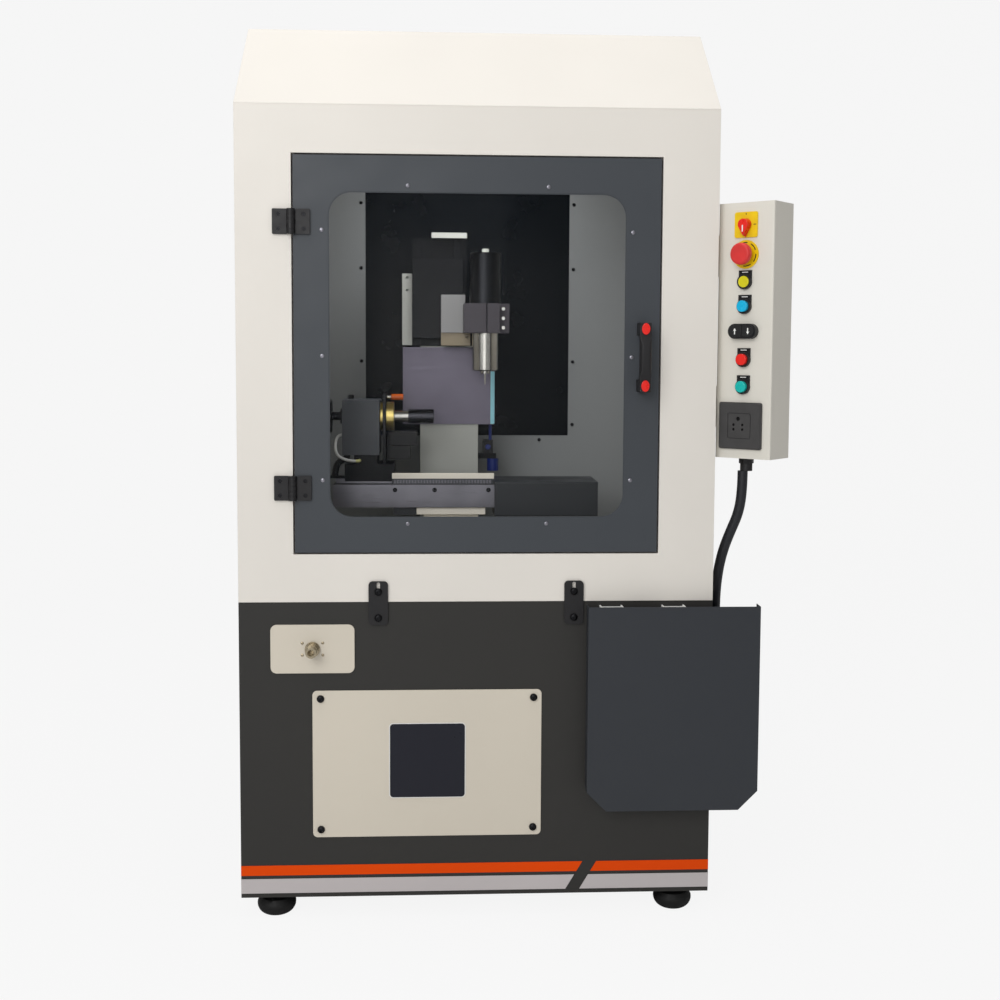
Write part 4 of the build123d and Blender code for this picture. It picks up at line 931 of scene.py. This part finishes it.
@dataclass
class Mechanism:
    """Beam, carriage, headstock, mandrel, column, tower, Z slide and spindle."""

    shop: Workshop

    def build(self) -> None:
        """Dress the mechanism."""
        beam = (Region(RAIL_CREAM, z=(850.99, 870)), Region(STEEL, y=(260, 340), z=(838.5, 851)))
        rows = (
            ("machine_bed", BED_CREAM, 1.5),
            ("beam_pedestal", RAIL_CREAM, 1.0),
            ("column_post", COLUMN_GREY, 1.0),
            ("splash_plate", SPLASH_STEEL, 0.3),
            ("x_beam", MACHINE_GREY, 0.6, *beam),
            ("x_front_plate", STEEL, 0.3),
            ("x_motor_cover", MACHINE_GREY, 0.5),
            ("x_carriage", MACHINE_BLACK, 0.8),
        )
        self.shop.dress(rows)
        self.headstock()
        self.rotor()
        self.z_axis()
        self.details()

    def headstock(self) -> None:
        """Dress the headstock box, bearing plate, lever, grip, motor and cables."""
        regions = (
            Region(ORANGE_GRIP, x=(-178.69, -150), z=(1014, 1030)),
            Region(TURNED_STEEL, x=(-188.66, -178.6), z=(1016, 1030)),
            Region(MACHINE_BLACK, x=(-197, -188.66), z=(880, 1033)),
            Region(BLACK_PLASTIC, x=(-189, -120), z=(880, 950)),
            Region(BLACK_PLASTIC, x=(-270, -255), z=(1017.52, 1030)),
        )
        self.shop.finish_piece("headstock", HEAD_GREY, regions, bevel=0.8)
        wire = [(-281, 262, 943), (-294, 262, 943), (-296, 242, 903), (-270, 242, 888.5), (-251, 242, 888.5)]
        tip = [(-251.5, 242, 888.5), (-244, 242, 888.5), (-244, 254, 888.5)]
        drop = ((-271, 900), (-271, 893), (-292, 884), (-297, 862), (-297, 855.3))
        leads = (
            ("headstock_wire", wire, 6.0, WIRE_GREY),
            ("wire_tip", tip, 6.6, YELLOW_TIP),
            ("conduit", [(x, 261.9, z) for x, z in drop], 14.0, BLACK_PLASTIC),
        )
        for name, places, diameter, finish in leads:
            mesh = pipe(name, places, diameter, finish)
            self.shop.adopt(mesh, name, "headstock_cables", replace=name == "headstock_wire")

    def rotor(self) -> None:
        """Dress the turned rotor: dark disc, steel shaft, brass rings, black mandrel."""
        stops = (-400, -306.4, -202.2, -195.5, -188.4, -172.2, -141.4, -80)
        finishes = (MACHINE_BLACK, TURNED_BLACK, BRASS, MACHINE_BLACK, BRASS, TURNED_STEEL, TURNED_BLACK)
        regions = tuple(Region(finish, x=ends) for finish, ends in zip(finishes, zip(stops, stops[1:])))
        self.shop.finish_piece("mandrel_rotor", TURNED_STEEL, regions, bevel=0.5)

    def z_axis(self) -> None:
        """Dress the tower, the Z slide's blocks and the spindle."""
        tower = (
            Region(COLUMN_GREY, x=(-158, -135.01)),
            Region(COLUMN_GREY, z=(1371.01, 1390)),
        )
        self.shop.finish_piece("z_tower", MACHINE_BLACK, tower, bevel=0.5)
        blocks = (
            Region(TURNED_STEEL, x=(56, 70), y=(269, 276.96)),
            Region(CLAMP_GREY, y=(250, 347.97)),
            Region(BLOCK_BEIGE, y=(349, 376), z=(1130, 1162.02)),
            Region(BLOCK_CREAM, y=(346, 376), z=(1162.03, 1250)),
        )
        self.shop.finish_piece("z_slide", MACHINE_BLACK, blocks, bevel=0.7)
        spindle = (Region(TURNED_STEEL, z=(1079, 1161.02)), Region(COLUMN_GREY, z=(1332.02, 1345)))
        self.shop.finish_piece("spindle_body", ANODISED, spindle, bevel=0.4)
        self.shop.finish_piece("cutter_spindle", TURNED_STEEL, bevel=0.2)
        valve = (
            Region(NAVY_KNOB, z=(921.01, 960)),
            Region(NAVY_KNOB, x=(30, 42.1), y=(412, 423.9)),
            Region(NAVY_KNOB, z=(850, 878.9)),
            Region(BLACK_PLASTIC, z=(891.01, 921)),
        )
        self.shop.finish_piece("valve_block", MACHINE_BLACK, valve, bevel=0.5)

    def details(self) -> None:
        """Add the ribbed strip, plate screws, cover screw and a pale blue strip at the splash plate's edge, a
        painted reflection of a bright light.
        """
        shop = self.shop
        ribs = RibRow("rail_strip_ribs", at(-170, 239.6, 845), 210, 3.2, (1.4, 1.2, 8), STEEL)
        shop.adopt(ribs.mesh(), "rail_strip_ribs", "x_beam")
        places = [at(x, 240, 827) for x in (-168.7, -84.6, 30.2)]
        heads = Screws("front_plate_screws", ScrewKind.COUNTERSUNK, places, 10.0, BLACK_OXIDE)
        shop.fasten(heads, "x_front_plate")
        # Painted reflection: a thin pale blue strip where a bright light reflects on the splash plate's right
        # edge.
        reflection_outline = [rounded(9, 118, 1)]
        shop.mark("splash_edge_film", "splash_plate", CYAN_REFLECTION_STRIP, reflection_outline, front_plane(45, 404, 1018), 0.3)
        cover_top = Matrix.Translation(at(140, 300, 844))
        shop.mark("cover_screw", "x_motor_cover", BLACK_OXIDE, [rounded(5, 5, 2)], cover_top, 0.6)


@dataclass
class Pendant:
    """Control box with its switches, buttons, socket, brackets and cable."""

    shop: Workshop
    buttons: tuple[tuple[str, float, Finish], ...] = (
        ("yellow", 1258.0, YELLOW_GLOSS),
        ("blue", 1211.0, BLUE_GLOSS),
        ("red", 1108.5, RED_GLOSS),
        ("green", 1056.0, TEAL_GLOSS),
    )
    switch_z: float = 1367.0
    stop_z: float = 1310.5
    twin_z: float = 1163.0
    socket_s: float = 56.0
    socket_z: float = 980.0
    label_rise: float = 18.3
    cable_d: float = 20.0
    route: tuple[Point, ...] = (
        (524.487, 19.146, 889.0),
        (524.487, 19.146, 853.0),
        (520.0, 25.0, 806.0),
        (504.6, 35.0, 763.0),
        (493.5, 42.0, 728.0),
        (486.8, 49.5, 691.0),
        (483.4, 57.0, 648.0),
        (483.3, 62.0, 600.0),
        (484.0, 64.0, 556.0),
        (484.0, 64.0, 520.0),
    )

    def build(self) -> None:
        """Dress the pendant."""
        rows = [
            ("pendant_box", PENDANT_CREAM, 0),
            ("pendant_brackets", PENDANT_CREAM, 0.4),
            ("legend_plates", YELLOW_PLATE, 0.3),
            ("button_bezels", BLACK_PLASTIC, 0.5),
            ("rotary_knob", RED_GLOSS, 0.8),
            ("estop_head", STOP_RED, 0.4),
            ("button_up", BLACK_PLASTIC, 0.9),
            ("button_down", BLACK_PLASTIC, 0.9),
            ("socket_plate", SOCKET_GREY, 0.3),
            ("cable_glands", BLACK_PLASTIC, 0.5),
        ]
        rows += [(f"button_{colour}", finish, 0) for colour, _, finish in self.buttons]
        self.shop.dress(rows)
        self.shop.coat("estop_stem", BLACK_PLASTIC)
        self.marks()
        self.socket()
        self.cable()

    def marks(self) -> None:
        """Add the plain marks: label windows with a bare bar, arrows, switch ticks and ring arcs."""
        shop = self.shop
        layers = (
            ("window", HOLE_BLACK, (22, 5.5, 0.8), 2.0, 0.3),
            ("bar", BRACKET_WHITE, (13, 1.6, 0.5), 2.3, 0.15),
        )
        for colour, z, _ in self.buttons:
            for part, finish, sizes, out, depth in layers:
                place = pendant_plane(CONTROL_S, z + self.label_rise, out)
                shop.mark(f"label_{part}_{colour}", "button_bezels", finish, [rounded(*sizes)], place, depth)
        arrow = [(-1.1, -6), (1.1, -6), (1.1, 1), (3.2, 1), (0, 6), (-3.2, 1), (-1.1, 1)]
        for name, side, flip in (("up", -1, 1), ("down", 1, -1)):
            outline = [(flip * u, flip * v) for u, v in arrow]
            place = pendant_plane(CONTROL_S + side * 14, self.twin_z, 14.0)
            shop.mark(f"arrow_{name}", f"button_{name}", WHITE_MARK, [outline], place, 0.25)
        pointer = pendant_plane(CONTROL_S, self.switch_z, 16.8)
        shop.mark("knob_pointer", "rotary_knob", WHITE_MARK, [rounded(2.4, 13, 1.1, (0, -8))], pointer, 0.3)
        ticks = [rounded(6, 1.4, 0.6, (19, 0))]
        ticks += [rounded(1.4, 4, 0.6, (0, high)) for high in (20.5, -22.2)]
        legend = pendant_plane(CONTROL_S, self.switch_z, 2.5)
        shop.mark("switch_ticks", "legend_plates", BLACK_MARK, ticks, legend, 0.2)
        arcs = []
        for start in range(20, 380, 60):
            sweep = range(start, start + 41, 8)
            arcs += band(arc(23.5, sweep), arc(21.5, sweep), closed=False)
        ring = pendant_plane(CONTROL_S, self.stop_z, 2.5)
        shop.mark("stop_ring_arcs", "legend_plates", BLACK_MARK, arcs, ring, 0.2)

    def socket(self) -> None:
        """Darken the socket's pin holes with recessed black discs, painted shade for the depth of the holes."""
        pins = ((-2.5, 13.5, 4.0), (-12, 2, 2.6), (7, 2, 2.6), (-12, -7, 2.6), (7, -7, 2.6))
        # Black discs at the pin holes' floors: painted shade inside the deep holes.
        discs = [arc(radius * 0.97, range(0, 360, 15), (ds, dz)) for ds, dz, radius in pins]
        floor = pendant_plane(self.socket_s, self.socket_z, 3.05)
        self.shop.mark("socket_pin_floors", "socket_plate", HOLE_BLACK, discs, floor, 0.6)

    def cable(self) -> None:
        """Lay the cable from the pendant's gland to the elbow on the base."""
        lead = lay_lead("pendant_lead", self.route, self.cable_d, sides=8, steps=16)
        lead.data.materials.append(Paints.get(SHEATH))
        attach(lead, "cabinet")
        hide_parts("pendant_cable")
        LOG.info("laid the pendant's cable")


@dataclass
class Studio:
    """Pale floor and backdrop, soft lights and the photograph's camera."""

    eye: Point = (-83.6, -2517.4, 1122.5)
    yaw: float = -0.050
    pitch: float = -0.076
    roll: float = -0.005
    lens: float = 46.81
    shift: float = -0.0499

    def build(self) -> None:
        """Make the studio."""
        self.backdrop()
        self.world()
        self.lamps()
        self.camera()
        bpy.context.scene.view_settings.view_transform = "Standard"

    def backdrop(self) -> None:
        """Make one sheet of floor that sweeps up behind the machine."""
        reach, bend, radius, height, steps = 9.0, 3.0, 1.5, 8.0, 8
        profile = [(-reach, 0.0), (bend, 0.0)]
        for step in range(1, steps + 1):
            angle = math.pi / 2 * step / steps
            profile.append((bend + radius * math.sin(angle), radius - radius * math.cos(angle)))
        profile += [(bend + radius, height)]
        verts = [(x, y, z) for y, z in profile for x in (-reach, reach)]
        faces = [(2 * k, 2 * k + 1, 2 * k + 3, 2 * k + 2) for k in range(len(profile) - 1)]
        mesh = bpy.data.meshes.new("studio_sheet")
        mesh.from_pydata(verts, [], faces)
        sheet = placed("studio_sheet", shaded(mesh, SWEEP_ANGLE))
        graph = Graph("studio_paper")
        graph.surface.inputs["Base Color"].default_value = (0.82, 0.82, 0.82, 1)
        graph.surface.inputs["Roughness"].default_value = 0.9
        glow = graph.put("ShaderNodeEmission", Color=(0.95, 0.95, 0.95, 1), Strength=1.0)
        ray = graph.put("ShaderNodeLightPath")
        share = graph.put("ShaderNodeMath")
        share.operation = "MULTIPLY"
        share.inputs[1].default_value = 0.94
        mix = graph.put("ShaderNodeMixShader")
        rows = (
            (ray, "Is Camera Ray", share, 0),
            (share, 0, mix, 0),
            (graph.surface, 0, mix, 1),
            (glow, 0, mix, 2),
            (mix, 0, graph.nodes["Material Output"], "Surface"),
        )
        join(graph.links, rows)
        mesh.materials.append(graph.material)

    def world(self) -> None:
        """Light the scene evenly from a pale world."""
        world = bpy.data.worlds.new("studio_world")
        world.use_nodes = True
        bpy.context.scene.world = world
        ground = world.node_tree.nodes["Background"]
        ground.inputs["Color"].default_value = (1.0, 1.0, 1.0, 1)
        ground.inputs["Strength"].default_value = 0.42

    def lamps(self) -> None:
        """Set the soft boxes: key at the left, fill before, one over the machine and one in the chamber."""
        spots = (
            ("key", (-1.7, -3.5, 2.7), (0.0, 0.0, 1.1), 2.2, 66.0),
            ("fill", (-0.6, -4.2, 1.5), (0.0, 0.0, 1.0), 1.6, 14.0),
            ("top", (0.0, -0.6, 3.9), (0.0, 0.0, 1.0), 2.0, 34.0),
            ("chamber", (-0.07, -0.16, 1.56), (-0.07, 0.02, 0.9), 0.3, 2.2),
        )
        for name, place, aim, size, power in spots:
            lamp = bpy.data.lights.new(name, "AREA")
            lamp.size = size
            lamp.energy = power
            holder = placed(name, lamp)
            holder.location = place
            holder.rotation_euler = (Vector(aim) - Vector(place)).to_track_quat("-Z", "Y").to_euler()
            holder.visible_glossy = name != "chamber"

    def camera(self) -> None:
        """Place the camera at the photograph's viewing angle."""
        heading = Matrix.Rotation(self.yaw, 3, "Z") @ Matrix.Rotation(self.pitch, 3, "X")
        right, ahead, up = (heading @ Matrix.Rotation(self.roll, 3, "Y")).col
        basis = Matrix((right, up, -ahead)).transposed().to_4x4()
        data = bpy.data.cameras.new("photo_camera")
        data.lens = self.lens
        data.sensor_width = 36.0
        data.shift_y = self.shift
        holder = placed("photo_camera", data)
        holder.matrix_world = Matrix.Translation(at(*self.eye)) @ basis
        bpy.context.scene.camera = holder


def main() -> None:
    logging.basicConfig(level=logging.INFO, format="%(message)s")
    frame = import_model()
    shop = Workshop(frame)
    for assembly in (Pendant(shop), Cabinet(shop), Door(shop), Shelf(shop), Mechanism(shop)):
        assembly.build()
    Studio().build()


if __name__ == "__main__":
    main()
